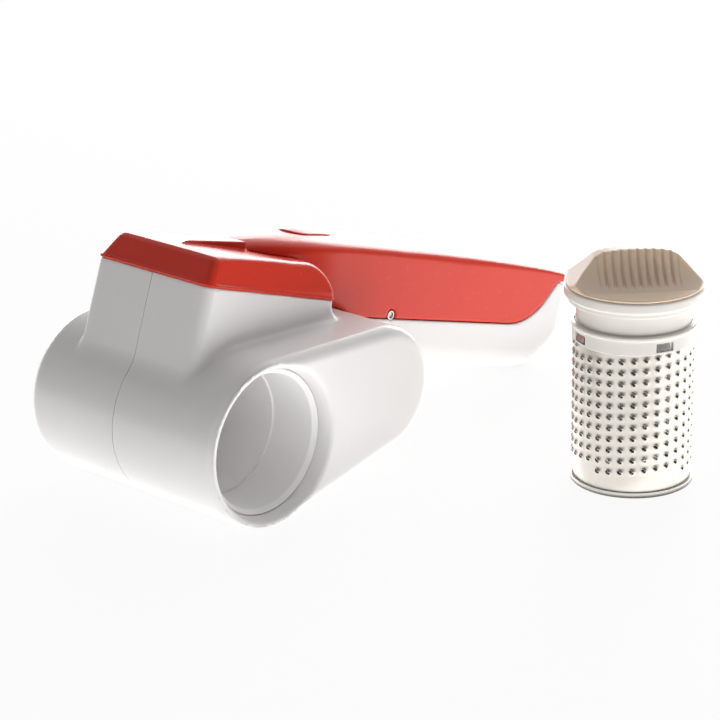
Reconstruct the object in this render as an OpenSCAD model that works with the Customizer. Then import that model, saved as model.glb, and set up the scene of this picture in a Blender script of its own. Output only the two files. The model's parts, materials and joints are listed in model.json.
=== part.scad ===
// Cordless rotary grater with its grating drum and grip cap standing beside it.
// Millimetres. Origin: centre of the drum mouth's edge. +Y runs into the drum bore, +Z up, +X to the handle.
// The grater is drawn square to its handle, then tilted to lie on the housing and on the heel of the handle.

/* [Drum housing] */
// Room between the drum chamber's sleeve and the housing wall
chamber_room = 1.9; // [1.4:0.1:4]
// Radius of the motor lobe beside the drum
lobe_r = 24.5; // [23:0.5:27]
// Distance from the hopper's end to the lobe's axis
lobe_gap = 12; // [10:0.5:15]
// Height of the lobe's axis over the drum axis
lobe_z = 21; // [19:0.5:23]
// Room between the motor pinion and the housing's rear wall
rear_room = 4.9; // [4:0.1:12]
// How far the front face stands ahead of the mouth's edge
mouth_depth = 7; // [5:0.5:9]
// Flat edge left round the flared mouth at the front face
mouth_edge = 2; // [1.5:0.1:3]
// Wall of the moulded shells
wall = 2.4; // [2:0.1:2.8]
// Rounding of the housing's front and rear edges
edge_r = 5; // [3:0.5:6]
// Distance from the mouth's edge to the plane where the two shells meet
seam_y = 47; // [45:0.5:49]

/* [Drum chamber] */
// Radius of the bore at the mouth
bore_r = 25.7; // [25.5:0.1:26]
// Radius of the bore behind its step
inner_bore_r = 24.9; // [24.6:0.1:25.2]
// Depth of the wide mouth stretch of the bore
step_y = 20; // [16:0.5:20.5]
// Wall of the drum chamber's sleeve
sleeve_wall = 2; // [1.6:0.1:2]
// How far the sleeve's front lip stands ahead of the mouth's edge
lip_y = 1.5; // [1:0.1:2]

/* [Hopper] */
// Left end of the hopper at its rim
hopper_x0 = -24; // [-25:0.5:-22.5]
// Length of the hopper at its rim
hopper_len = 69; // [66:0.5:71]
// Width of the hopper, front to back
hopper_w = 60; // [57:0.5:62]
// Height of the hopper's rim over the drum axis
rim_z = 52; // [50.5:0.5:55]
// Outward lean of the hopper's end walls, rim to root
hopper_lean = 2.5; // [1.5:0.5:4]
// Corner radius of the hopper in plan
hopper_corner = 5; // [4:0.5:7]
// Wall of the chute inside the hopper
chute_wall = 1.5; // [1.2:0.1:1.8]

/* [Lid and presser] */
// Height of the crowned lid over the rim
lid_h = 12; // [11:0.5:15]
// Gap between fixed and moving covers
cover_gap = 0.4; // [0.3:0.05:0.6]
// Height of the presser's face over the drum axis
presser_z = 28; // [27.5:0.5:32]
// Clearance at the left end of the presser for its swing
presser_swing = 4; // [3.5:0.5:6]

/* [Handle] */
// Width of the handle
grip_w = 36; // [34:0.5:40]
// Height of the handle's top over the drum axis
grip_top = 73.2; // [72:0.2:76]
// Fall of the handle's top from its crown to the tail
grip_fall = 8; // [6:0.5:9]
// Distance from the lobe's axis to the tail's end face
handle_len = 148.5; // [143:0.5:158]
// Radius of the heel under the tail
heel_r = 17; // [16:0.5:19]
// Height of the lower handle's underside over the drum axis
grip_bottom = 22.2; // [21:0.2:23]
// Height of the parting line between arm and lower handle
part_z = 42; // [41.5:0.25:43]
// Height of the parting line at the tail
tail_part_z = 61; // [60:0.25:61.5]
// Rounding where the parting line turns up to the tail
part_r = 14; // [10:1:16]
// Slope of the rising parting line
part_slope = 52; // [48:1:58]

/* [Pins and hinge] */
// Radius of the stop pin that ends in the arm's notches
stop_pin_r = 2; // [1.6:0.1:2.2]
// Distance of the stop pin behind the lobe's axis
stop_pin_reach = 36.7; // [36:0.1:38]
// Height of the stop pin over the parting line
stop_pin_rise = 1.7; // [1.4:0.1:2]
// Radius of the tail hinge's pin
hinge_pin_r = 1.2; // [1:0.1:1.4]
// Radius of the tail hinge's knuckles
knuckle_r = 2.4; // [2.2:0.1:2.6]
// Running clearance of shafts and pins
run_gap = 0.05; // [0.03:0.01:0.08]

/* [Button] */
// Length of the oval button
button_len = 23.2; // [20:0.2:25]
// Width of the oval button
button_w = 14; // [11:0.5:14.5]
// How far the button's middle lies ahead of the lobe's axis
button_lead = 3; // [2:0.25:4]
// Height of the button over the handle's top
button_rise = 1.2; // [0.8:0.1:2.4]
// Travel of the button
button_travel = 2.5; // [2:0.1:3]

/* [Drive] */
// Gear module
gear_m = 1; // [0.98:0.01:1.02]
// Teeth of the drive hub
hub_teeth = 52; // [52]
// Teeth of the idler's small wheel
idler_small = 12; // [12]
// Teeth of the idler's large wheel
idler_big = 44; // [44]
// Teeth of the motor pinion
pinion_teeth = 12; // [12]
// Face width of the gears
gear_w = 5; // [4:0.5:5]
// Radius of the motor
motor_r = 12; // [10:0.5:12.5]
// Length of the motor
motor_len = 40; // [34:1:44]

/* [Battery] */
// Radius of a battery cell
cell_r = 7; // [6.5:0.1:7.1]
// Length of a battery cell
cell_len = 42; // [38:0.5:43]

/* [Grating drum] */
// Outer radius of the steel drum
drum_r = 22.5; // [22:0.1:23]
// Height of the steel drum over its base ring
drum_h = 59; // [56:0.5:60]
// Thickness of the drum's sheet
sheet = 0.5; // [0.4:0.1:0.7]
// Columns of teeth around the drum
tooth_columns = 31; // [24:1:32]
// Rows of teeth on the drum
tooth_rows = 11; // [9:1:11]
// Spacing of the tooth rows
row_pitch = 4.4; // [4:0.05:4.6]
// Width of a punched hole
hole_w = 2; // [1.6:0.1:2.4]
// Height of the base ring
base_h = 2; // [1.6:0.1:2.4]
// Place of the standing drum, towards the handle
drum_x = 124; // [120:1:160]
// Place of the standing drum, ahead of the mouth
drum_y = -75; // [-110:1:-70]

/* [Grip cap] */
// Radius of the cap's flange
flange_r = 26.5; // [26:0.1:27.2]
// Height of the cap's flange over its step
flange_h = 4.4; // [3.6:0.2:5]
// Height of the visible neck between collar and flange
neck_h = 7.6; // [6:0.2:9]
// Height of the grip over the flange
grip_h = 14.3; // [12:0.1:18]
// Thickness of the pinch grip at its top
pinch_w = 5; // [4:0.5:9]

/* [Hidden] */
$fn = 64;
hull_fn = 40;

// Fits
fit = 0.15;
joint_gap = 0.05;
screw_gap = 0.05;

// Places along the handle, each taken from the one before it
hopper_x1 = hopper_x0 + hopper_len;
lobe_x = hopper_x1 + lobe_gap;
tail_x = lobe_x + handle_len;
crown_x = lobe_x + 18;
back_points = [for (t = [0, 0.35, 0.65]) crown_x + t * (tail_x - crown_x)];
stop_pin_x = lobe_x + stop_pin_reach;
button_x = lobe_x - button_lead;

// Drive train along the bore, behind the drum
drum_reach = base_h + drum_h + 2.6 + neck_h + 2 - lip_y;
hub_y = drum_reach + 0.8;
hub_spigot_r = 21;
sleeve_end_y = hub_y + 3.6;
gear_y = sleeve_end_y + 0.6;
pinion_y = gear_y + gear_w + 1;
plate_h = 1.6;
plate_y = gear_y - 3;

// Housing
sleeve_r = bore_r + sleeve_wall;
body_r = sleeve_r + chamber_room + wall;
body_depth = pinion_y + gear_w + rear_room + wall;
mouth_r = body_r - mouth_edge;
hollow_r = body_r - wall;
rear_inner_y = body_depth - wall;
front_inner_y = -mouth_depth + wall;
lobe_angle = atan2(lobe_z, lobe_x);

// Hopper and chute
hopper_y0 = seam_y - hopper_w / 2;
hopper_y1 = seam_y + hopper_w / 2;
hopper_root_z = 18;
chute_x0 = hopper_x0 + wall + fit;
chute_x1 = hopper_x1 - wall - fit;
chute_y0 = hopper_y0 + wall + fit;
chute_y1 = min(hopper_y1 - wall - fit, plate_y - 0.5);
chute_floor_z = 33;

// Lid and presser
lid_over = 0.6;
lid_z0 = rim_z + cover_gap;
lid_top = rim_z + lid_h;
lid_roof = 3.8;
lid_inner_z = lid_top - lid_roof;
lid_lip = 1.2;
lid_slope = 4.6;
lid_round = 13;
lid_x0 = hopper_x0 - lid_over;
lid_x1 = hopper_x1 + lid_over;
lid_y0 = hopper_y0 - lid_over;
lid_y1 = hopper_y1 + lid_over;
presser_x0 = chute_x0 + chute_wall + presser_swing;
presser_x1 = chute_x1 - chute_wall - presser_swing;
presser_y0 = chute_y0 + chute_wall + 1;
presser_y1 = chute_y1 - chute_wall - 1;
presser_top = rim_z + 6;
presser_screw_r = 1.3;
well_r = 2.6;
well_wall = 1.4;
well_web = 3.5;
well_inset = 8.3;

// Handle
grip_y0 = seam_y - grip_w / 2;
grip_y1 = seam_y + grip_w / 2;
heel_x = tail_x - heel_r;
heel_z = grip_bottom + heel_r;
tail_top = grip_top - grip_fall;
tail_edge = 3.5;
underside_edge = 9;
top_edge = 5;
top_disc_r = 8;
nose_x = 20.2;
nose_r = 6;
nose_w = 20;
nose_drop = 3.2;
nose_end_x = hopper_x1;
neck_tip_x = -10;
neck_rise = 4.6;
arm_front_x = hopper_x1 + 1.6;
part_arc_x = tail_x - 27.5;
grip_hollow_x0 = lobe_x + lobe_r + 1;

// Pins and hinge
stop_pin_z = part_z + stop_pin_rise;
notch_r = stop_pin_r + 0.5;
post_x = 7.4;
post_w = 3.8;
hinge_x = tail_x + cover_gap;
hinge_z = tail_part_z + cover_gap / 2;
knuckle_len = 11.2;
ear_len = 7;
ear_gap = 0.4;

// Button
shelf_z = 58;
shelf_h = 2;
button_flange_z = grip_top - wall - 1.8;
button_flange_h = 1.5;
stem_r = 2.5;
button_lap = 1.1;
seat_z = lobe_z + lobe_r - 1.1;
switch_plate_h = 1.5;
switch_plate_x0 = lobe_x - 8;
switch_plate_len = 20;
switch_plate_w = 44;
plunger_rise = 5;
plunger_r = 1.2;
plunger_z = seat_z + switch_plate_h + plunger_rise;
stem_z = plunger_z + button_travel + 0.3;

// Drive train: hub, idler and pinion lie on one line from the drum axis to the lobe's axis
hub_pitch_r = gear_m * hub_teeth / 2;
idler_d = gear_m * (hub_teeth + idler_small) / 2;
pinion_d = idler_d + gear_m * (idler_big + pinion_teeth) / 2;
axle_r = 3;
idler_axle_r = 1.5;
shaft_r = 1;
post_r = 3;
post_reach = 16;
plate_screw_len = 11;
shaft_depth = 13;
motor_boss_r = 4;
dog_h = 2.2;
dog_r0 = 11;
dog_r1 = 17;

// Housing screws: along the handle, height, and the outer face that takes the head
screw_r = 1.4;
screw_head_r = 2.6;
boss_r = 3.2;
HOUSING_SCREWS = [[heel_x + 1.5, heel_z + 1, grip_y1], [grip_hollow_x0 + 2.5, 33, grip_y1],
                  [lobe_x + 17, lobe_z - 6.2, body_depth]];

// Circuit board on posts of the front shell
board_len = 25;
board_w = 20;
board_h = 1.6;
board_x = lobe_x - 14;
board_y = 10;
board_z = lobe_z - 10;
board_post_r = 2.4;

// Charging contacts in the tail wall
contact_r = 2;
contact_side = 6;
contact_tail = 2;
contact_z = 50;

// Battery
battery_x = stop_pin_x + post_x / 2 + 1.6;
battery_z = grip_bottom + wall + cell_r + 0.3;
cover_h = 1.8;

// Standing drum
floor_z = -body_r;
base_r = drum_r + 0.9;
collar_r = drum_r + 1;
collar_lip_r = drum_r + 1.7;
collar_z = base_h + drum_h - 4.3;
collar_h = 5.7;
collar_lip_h = 1.6;
cap_z = collar_z + collar_h + collar_lip_h;
plug_r = drum_r - sheet - 0.15;
step_h = 2;
step_r = flange_r - 1.2;
window_turn = -113;
window_w = 7.4;
window_h = 3.4;
hole_turn = -177.6;
row_rise = 0.44;
pinch_turn = -43;
grip_rim = 0.8;
flute_rise = 1.2;
scoop_r = 18;
rib_pitch = 3.1;
rib_count = 9;
blade_top = 27;
rib_depth = 0.6;

// The grater lies on the round housing and on the heel of the handle, so its tilt follows from both
heel_reach = norm([heel_x, heel_z]);
rest_tilt = atan2(heel_z, heel_x) + asin((body_r - heel_r) / heel_reach);
echo(rest_tilt = rest_tilt, hinge = [hinge_x, hinge_z],
     idler_d = idler_d, pinion_d = pinion_d, alpha = lobe_angle);

// Shared shapes

// Turns the grater from square to its handle into the way it lies
module lying() {
  rotate([0, rest_tilt, 0]) children();
}

// Stands a shape drawn along Z on the line through (x, z), running along +Y from y0
module along_y(x, z, y0) {
  translate([x, y0, z]) rotate([-90, 0, 0]) children();
}

module rod_y(x, z, r, y0, y1) {
  along_y(x, z, y0) cylinder(r = r, h = y1 - y0);
}

// Place at distance d from the drum axis towards the lobe, and side s across that line
function drive_point(d, s) =
  [d * cos(lobe_angle) + s * sin(lobe_angle), d * sin(lobe_angle) - s * cos(lobe_angle)];

// Half section of a disc of radius r and height h with edges rounded by e
function disc_section(r, h, e, n = 4) = concat(
  [[0, 0]],
  [for (i = [0:n]) [r - e + e * sin(90 * i / n), e - e * cos(90 * i / n)]],
  [for (i = [0:n]) [r - e + e * cos(90 * i / n), h - e + e * sin(90 * i / n)]],
  [[0, h]]);

module rounded_disc(x, z, r, y0, y1, e) {
  along_y(x, z, y0) rotate_extrude($fn = hull_fn) polygon(disc_section(r, y1 - y0, min(e, r - 0.2)));
}

// Rectangle with round corners
module round_rect(x0, x1, y0, y1, r) {
  translate([x0 + r, y0]) square([x1 - x0 - 2 * r, y1 - y0]);
  translate([x0, y0 + r]) square([x1 - x0, y1 - y0 - 2 * r]);
  for (x = [x0 + r, x1 - r], y = [y0 + r, y1 - r]) translate([x, y]) circle(r = r);
}

module oval(l, w) {
  for (s = [-1, 1]) translate([s * (l - w) / 2, 0]) circle(d = w);
  square([l - w, w], center = true);
}

// Side outline drawn in X and Z, carried along Y
module side_block(y0, y1) {
  translate([0, y1, 0]) rotate([90, 0, 0]) linear_extrude(y1 - y0) children();
}

module screw(head_r, head_h, r, h) {
  cylinder(r = head_r, h = head_h);
  translate([0, 0, head_h]) cylinder(r = r, h = h);
}

// Spur gear outline with straight-sided teeth
function gear_outline(n) =
  let (p = 360 / n, r = gear_m * n / 2, tip = r + 0.85 * gear_m, root = r - 1.2 * gear_m)
  [for (i = [0:n - 1], c = [[root, -0.29], [r, -0.2], [tip, -0.085], [tip, 0.085], [r, 0.2], [root, 0.29]])
    let (a = p * (i + c[1])) [c[0] * cos(a), c[0] * sin(a)]];

module gear(n, h, turn) {
  rotate([0, 0, turn]) linear_extrude(h) polygon(gear_outline(n));
}

// Housing forms

module teardrop(grow) {
  hull() {
    rounded_disc(0, 0, body_r + grow, -mouth_depth - grow, body_depth + grow, edge_r);
    rounded_disc(lobe_x, lobe_z, lobe_r + grow, -mouth_depth - grow, body_depth + grow, edge_r);
  }
}

module teardrop_hollow() {
  along_y(0, 0, front_inner_y) linear_extrude(rear_inner_y - front_inner_y) hull() {
    circle(r = hollow_r, $fn = 72);
    translate([lobe_x, -lobe_z]) circle(r = lobe_r - wall, $fn = 72);
  }
}

module hopper_block() {
  hull() for (s = [0, 1], y = [hopper_y0 + hopper_corner, hopper_y1 - hopper_corner]) {
    translate([s ? hopper_x1 - hopper_corner : hopper_x0 + hopper_corner, y, rim_z - 1])
      cylinder(r = hopper_corner, h = 1, $fn = 32);
    translate([s ? hopper_x1 - hopper_corner + hopper_lean : hopper_x0 + hopper_corner - hopper_lean,
               y, hopper_root_z])
      cylinder(r = hopper_corner, h = 1, $fn = 32);
  }
}

module hopper_hollow() {
  translate([0, 0, 8]) linear_extrude(rim_z)
    round_rect(hopper_x0 + wall, hopper_x1 - wall, hopper_y0 + wall, hopper_y1 - wall, hopper_corner - wall);
}

function top_at(x) = grip_top - grip_fall * pow(max(0, x - crown_x) / (tail_x - crown_x), 2);

// Whole handle, arm and lower handle together
module grip_block() {
  hull() {
    for (x = [lobe_x + 13, heel_x]) rounded_disc(x, heel_z, heel_r, grip_y0, grip_y1, underside_edge);
    for (x = concat([nose_end_x], back_points))
      rounded_disc(x, top_at(x) - top_disc_r, top_disc_r, grip_y0, grip_y1, top_edge);
    rounded_disc(tail_x - tail_edge, tail_top - tail_edge, tail_edge, grip_y0, grip_y1, tail_edge);
    rounded_disc(nose_x, grip_top - nose_drop - nose_r, nose_r,
                 seam_y - nose_w / 2, seam_y + nose_w / 2, top_edge);
  }
}

// Outline of the arm's side of the parting line, moved g into the arm
function arm_zone(g) =
  let (zc = part_z + part_r, r = part_r - g, a1 = part_slope - 90, xs = part_arc_x + r * cos(a1),
       zs = zc + r * sin(a1), xe = xs + (tail_part_z + g - zs) / tan(part_slope))
  concat([[-60, part_z + g]],
         [for (i = [0:8]) let (a = -90 + part_slope * i / 8) [part_arc_x + r * cos(a), zc + r * sin(a)]],
         [[xe, tail_part_z + g], [tail_x + 40, tail_part_z + g], [tail_x + 40, 140], [-60, 140]]);

module arm_side(g) {
  side_block(grip_y0 - 20, grip_y1 + 20) polygon(arm_zone(g));
}

// Inside of the handle between its side walls, from x0 to the tail
module grip_hollow(x0) {
  r = heel_r - wall;
  intersection() {
    side_block(grip_y0 + wall, grip_y1 - wall) polygon(concat(
      [[x0, 140], [x0, grip_bottom + wall]],
      [for (i = [0:8]) [heel_x + r * sin(90 * i / 8), heel_z - r * cos(90 * i / 8)]],
      [for (x = [tail_x, back_points[2], back_points[1], crown_x, x0])
        if (x >= x0) [min(x, tail_x - wall), top_at(x) - wall]]));
    translate([x0 - 1, 0, 0]) rotate([90, 0, 90]) linear_extrude(tail_x - x0)
      round_rect(grip_y0 + wall, grip_y1 - wall, grip_bottom + wall, grip_top - wall, underside_edge - wall);
  }
}

// Bosses of the housing or of the handle, on one side of the seam
module screw_bosses(front, lobe) {
  for (s = HOUSING_SCREWS) if ((s[2] == body_depth) == lobe) {
    outer = lobe ? body_depth - wall : grip_y1 - wall;
    inner = lobe ? front_inner_y - 0.5 : grip_y0 + wall - 1;
    if (front) rod_y(s[0], s[1], boss_r, inner, seam_y);
    else rod_y(s[0], s[1], boss_r, seam_y, outer + 1);
  }
}

module screw_holes() {
  for (s = HOUSING_SCREWS) {
    rod_y(s[0], s[1], screw_r + screw_gap, seam_y - 7, s[2] + 1);
    rod_y(s[0], s[1], screw_head_r + fit, s[2] - 5, s[2] + 10);
  }
}

module pin_posts(front) {
  y = front ? grip_y0 + wall + 0.8 : grip_y1 - wall - 0.8 - post_w;
  z = grip_bottom + wall + 1.4;
  translate([stop_pin_x - post_x / 2, y, z]) cube([post_x, post_w, stop_pin_z + 3.4 - z]);
}

module tail_ear(front) {
  y = front ? seam_y - knuckle_len / 2 - ear_gap - ear_len : seam_y + knuckle_len / 2 + ear_gap;
  rod_y(hinge_x, hinge_z, knuckle_r, y, y + ear_len);
}

// Both housing shells before they are parted at the seam
module shell_skin() {
  difference() {
    union() {
      teardrop(0);
      hopper_block();
    }
    teardrop_hollow();
    hopper_hollow();
    wire_way();
    switch_seat();
  }
}

// Both halves of the lower handle before they are parted at the seam
module handle_skin() {
  difference() {
    grip_block();
    arm_side(0);
    teardrop(joint_gap);
    translate([-60, 0, -60]) cube([60 + lobe_x, 100, 200]);
    grip_hollow(grip_hollow_x0);
    wire_way();
    contact_points() cylinder(r = contact_r + screw_gap, h = 20);
  }
}

module wire_way() {
  translate([lobe_x + lobe_r - 8, seam_y, 31]) rotate([0, 90, 0]) cylinder(r = 3.5, h = 12);
}

// Curved pocket on top of the lobe, or with a gap the plate that closes it
module switch_pocket(top_r, gap) {
  intersection() {
    difference() {
      rod_y(lobe_x, lobe_z, top_r, seam_y - switch_plate_w / 2 + gap, seam_y + switch_plate_w / 2 - gap);
      rod_y(lobe_x, lobe_z, lobe_r - switch_plate_h, seam_y - switch_plate_w, seam_y + switch_plate_w);
    }
    translate([switch_plate_x0 + gap, seam_y - switch_plate_w, lobe_z])
      cube([switch_plate_len - 2 * gap, 2 * switch_plate_w, 2 * lobe_r]);
  }
}

module switch_seat() {
  switch_pocket(lobe_r + 2, 0);
  translate([button_x, seam_y, seat_z - 12]) cylinder(r = plunger_r + 0.4, h = 20);
}

module half_space(front) {
  y = front ? seam_y - 200 : seam_y;
  translate([-100, y, -100]) cube([500, 200, 300]);
}

module front_shell() {
  color("whitesmoke") lying() difference() {
    union() {
      intersection() {
        shell_skin();
        half_space(true);
      }
      rod_y(0, 0, hollow_r + 0.3, -mouth_depth + 3, 6);
      screw_bosses(true, true);
      for (x = [board_x + 3, board_x + board_len - 4])
        rod_y(x, board_z + 4, board_post_r, front_inner_y - 0.5, board_y);
    }
    rod_y(0, 0, sleeve_r + fit, -lip_y - 0.2, 20);
    along_y(0, 0, -mouth_depth - 0.01)
      cylinder(r1 = mouth_r, r2 = sleeve_r + fit, h = mouth_depth - lip_y);
    screw_holes();
  }
}

module rear_shell() {
  color("whitesmoke") lying() difference() {
    union() {
      intersection() {
        shell_skin();
        half_space(false);
      }
      screw_bosses(false, true);
      rod_y(0, 0, axle_r + 2.5, gear_y + gear_w + 0.5, rear_inner_y + 0.5);
      for (p = [drive_point(idler_d, 0)])
        rod_y(p[0], p[1], idler_axle_r + 2, pinion_y + gear_w + 0.5, rear_inner_y + 0.5);
      for (p = plate_posts()) rod_y(p[0], p[1], post_r, plate_y + plate_h, rear_inner_y + 0.5);
    }
    rod_y(0, 0, axle_r + screw_gap, 0, rear_inner_y + 0.5);
    for (p = [drive_point(idler_d, 0)]) rod_y(p[0], p[1], idler_axle_r + screw_gap, 0, rear_inner_y + 0.5);
    for (p = plate_posts()) rod_y(p[0], p[1], screw_r + screw_gap, 0, plate_y + 12);
    screw_holes();
  }
}

// Half of the lower handle, with its pin post, screw bosses and hinge ear
module handle_half(front) {
  difference() {
    union() {
      intersection() {
        handle_skin();
        half_space(front);
      }
      screw_bosses(front, false);
      pin_posts(front);
      tail_ear(front);
    }
    rod_y(stop_pin_x, stop_pin_z, stop_pin_r + screw_gap, 0, 100);
    rod_y(hinge_x, hinge_z, hinge_pin_r + screw_gap, 0, 100);
    rod_y(hinge_x, hinge_z, knuckle_r + cover_gap,
          seam_y - knuckle_len / 2 - ear_gap, seam_y + knuckle_len / 2 + ear_gap);
    screw_holes();
  }
}

module handle_front() {
  color("whitesmoke") lying() handle_half(true);
}

module handle_rear() {
  color("whitesmoke") lying() handle_half(false);
}

function plate_posts() = [drive_point(pinion_d, post_reach), drive_point(pinion_d, -post_reach),
                          drive_point(pinion_d + post_reach, 0)];

// Sleeve round the drum, open at the top to the chute
module drum_chamber() {
  color("ghostwhite") lying() difference() {
    rod_y(0, 0, sleeve_r, -lip_y, sleeve_end_y);
    rod_y(0, 0, bore_r, -lip_y - 1, step_y);
    rod_y(0, 0, inner_bore_r, step_y - 1, sleeve_end_y + 1);
    along_y(0, 0, -lip_y - 0.01) cylinder(r1 = bore_r + sleeve_wall - 0.4, r2 = bore_r, h = lip_y);
    chute(chute_wall, rim_z + 5, chute_floor_z + chute_wall);
  }
}

// Walls that lead the food down to the sleeve's opening
module food_chute() {
  color("ghostwhite") lying() difference() {
    chute(0, rim_z, chute_floor_z);
    chute(chute_wall, rim_z + 5, chute_floor_z + chute_wall);
    rod_y(0, 0, sleeve_r + joint_gap, -lip_y - 1, sleeve_end_y + 20);
  }
}

// Chute block drawn inset by t, up to z1, with the floor's high end at floor_z
module chute(t, z1, floor_z) {
  low_x = hopper_x1 - 21;
  low_z = floor_z - (chute_x1 - low_x);
  intersection() {
    side_block(chute_y0 + t, chute_y1 - t)
      polygon([[chute_x0 + t, z1], [chute_x1 - t, z1], [chute_x1 - t, floor_z],
               [low_x - t, low_z], [chute_x0 + t, low_z]]);
    linear_extrude(z1 + 20)
      round_rect(chute_x0 + t, chute_x1 - t, chute_y0 + t, chute_y1 - t, hopper_corner - wall - fit - t / 2);
  }
}

// Drive

module gear_plate() {
  m = drive_point(pinion_d, 0);
  i = drive_point(idler_d, 0);
  color("silver") lying() difference() {
    union() {
      for (p = concat(plate_posts(), [m])) rod_y(p[0], p[1], p == m ? 14 : 5, plate_y, plate_y + plate_h);
      along_y(0, 0, plate_y) linear_extrude(plate_h) polygon([
        for (p = [drive_point(idler_d - 3.2, 8), drive_point(pinion_d, 14), drive_point(pinion_d, -14),
                  drive_point(idler_d - 3.2, -8)]) [p[0], -p[1]]]);
    }
    rod_y(0, 0, sleeve_r + 0.5, plate_y - 1, plate_y + 5);
    rod_y(i[0], i[1], idler_axle_r + screw_gap, plate_y - 1, plate_y + 5);
    rod_y(m[0], m[1], shaft_r + 1.5, plate_y - 1, plate_y + 5);
    for (p = plate_posts()) rod_y(p[0], p[1], screw_r + screw_gap, plate_y - 1, plate_y + 5);
  }
}

module plate_screws() {
  color("dimgray") lying() for (p = plate_posts())
    along_y(p[0], p[1], plate_y - 1.6) screw(screw_head_r, 1.6, screw_r, plate_screw_len);
}

module motor() {
  m = drive_point(pinion_d, 0);
  color("lightsteelblue") lying() difference() {
    union() {
      rod_y(m[0], m[1], motor_r, plate_y - motor_len, plate_y);
      rod_y(m[0], m[1], motor_boss_r, plate_y - motor_len - 2, plate_y);
    }
    rod_y(m[0], m[1], shaft_r + run_gap, plate_y - shaft_depth - 1, plate_y + 1);
  }
}

module motor_pinion() {
  m = drive_point(pinion_d, 0);
  color("goldenrod") lying() {
    along_y(m[0], m[1], pinion_y) gear(pinion_teeth, gear_w, 180 / pinion_teeth - lobe_angle);
    rod_y(m[0], m[1], shaft_r, plate_y - shaft_depth, pinion_y + 0.5);
  }
}

module idler_gear() {
  i = drive_point(idler_d, 0);
  color("ivory") lying() difference() {
    union() {
      along_y(i[0], i[1], gear_y) gear(idler_small, gear_w + 1.5, 180 / idler_small - lobe_angle);
      along_y(i[0], i[1], pinion_y) gear(idler_big, gear_w, -lobe_angle);
    }
    rod_y(i[0], i[1], idler_axle_r + run_gap, 0, body_depth);
  }
}

module idler_axle() {
  i = drive_point(idler_d, 0);
  color("silver") lying() rod_y(i[0], i[1], idler_axle_r, plate_y, rear_inner_y + 0.5);
}

module drive_axle() {
  color("silver") lying() rod_y(0, 0, axle_r, hub_y + 1.5, rear_inner_y + 0.5);
}

// Hub behind the drum: a gear with a spigot whose dogs turn the drum's base
module drive_hub() {
  color("ivory") lying() difference() {
    union() {
      along_y(0, 0, gear_y) gear(hub_teeth, gear_w, -lobe_angle);
      rod_y(0, 0, hub_spigot_r, hub_y, gear_y + 1);
      for (a = [0:90:270]) rotate([0, a, 0])
        translate([dog_r0, hub_y - dog_h, -2]) cube([dog_r1 - dog_r0, dog_h + 1, 4]);
    }
    rod_y(0, 0, axle_r + run_gap, hub_y + 1, body_depth);
  }
}

// Power

module battery_cells() {
  color("seagreen") lying() for (i = [0, 1], s = [-1, 1])
    translate([battery_x + i * (cell_len + 0.6), seam_y + s * (cell_r + 0.2), battery_z]) rotate([0, 90, 0]) {
      cylinder(r = cell_r, h = cell_len - 1.2);
      cylinder(r = cell_r / 2.4, h = cell_len);
    }
}

module battery_cover() {
  z = part_z - cover_gap - cover_h;
  x1 = part_arc_x - 1;
  color("gainsboro") lying() difference() {
    translate([battery_x - 0.6, grip_y0 + wall + fit, z])
      cube([x1 - battery_x, grip_w - 2 * wall - 2 * fit, cover_h]);
    for (i = [0:5]) translate([battery_x + 12 + i * 9, seam_y - 8, z + cover_h - 0.8]) cube([3, 16, 2]);
  }
}

module circuit_board() {
  color("darkgreen") lying() {
    translate([board_x, board_y, board_z]) cube([board_len, board_h, board_w]);
    for (i = [0:2]) translate([board_x + 3 + 7 * i, board_y + board_h, board_z + 9]) cube([4, 3, 6]);
  }
}

module micro_switch() {
  top = lobe_z + sqrt(pow(lobe_r - wall, 2) - 36) - 0.1;
  color("black") lying() {
    translate([lobe_x - 6, seam_y - 3.2, top - 6.4]) cube([12, 6.4, 6.4]);
    translate([button_x, seam_y, top - 0.5]) cylinder(r = plunger_r, h = plunger_z - top + 0.5);
  }
}

module switch_plate() {
  color("whitesmoke") lying() difference() {
    switch_pocket(lobe_r, fit);
    translate([button_x, seam_y, seat_z - 4]) cylinder(r = plunger_r + 0.4, h = 8);
  }
}

module contact_points() {
  for (s = [-1, 1])
    translate([tail_x - wall - contact_tail, seam_y + s * contact_side, contact_z]) rotate([0, 90, 0]) children();
}

// Two flush pads in the tail wall that meet a charging stand
module charge_contacts() {
  color("gold") lying() contact_points() {
    cylinder(r = contact_r, h = wall + contact_tail);
    cylinder(r = contact_r + 1, h = contact_tail - fit);
  }
}

module housing_screws() {
  color("dimgray") lying() for (s = HOUSING_SCREWS)
    translate([s[0], s[2] - 3.4, s[1]]) rotate([90, 0, 0])
      screw(screw_head_r, 1.6, screw_r, s[2] - 5 - seam_y + 6);
}

module stop_pin() {
  color("silver") lying() rod_y(stop_pin_x, stop_pin_z, stop_pin_r, grip_y0 + 0.3, grip_y1 - 0.3);
}

module hinge_pin() {
  half = knuckle_len / 2 + ear_gap + ear_len;
  color("silver") lying() rod_y(hinge_x, hinge_z, hinge_pin_r, seam_y - half, seam_y + half);
}

// Arm

// One level of the lid: left end, right end, inset of the long sides, height
module lid_level(x0, x1, inset, z, h, grow) {
  translate([0, 0, z - grow]) linear_extrude(h + 2 * grow)
    round_rect(x0 - grow, x1 + grow, lid_y0 + inset - grow, lid_y1 - inset + grow, hopper_corner);
}

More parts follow.
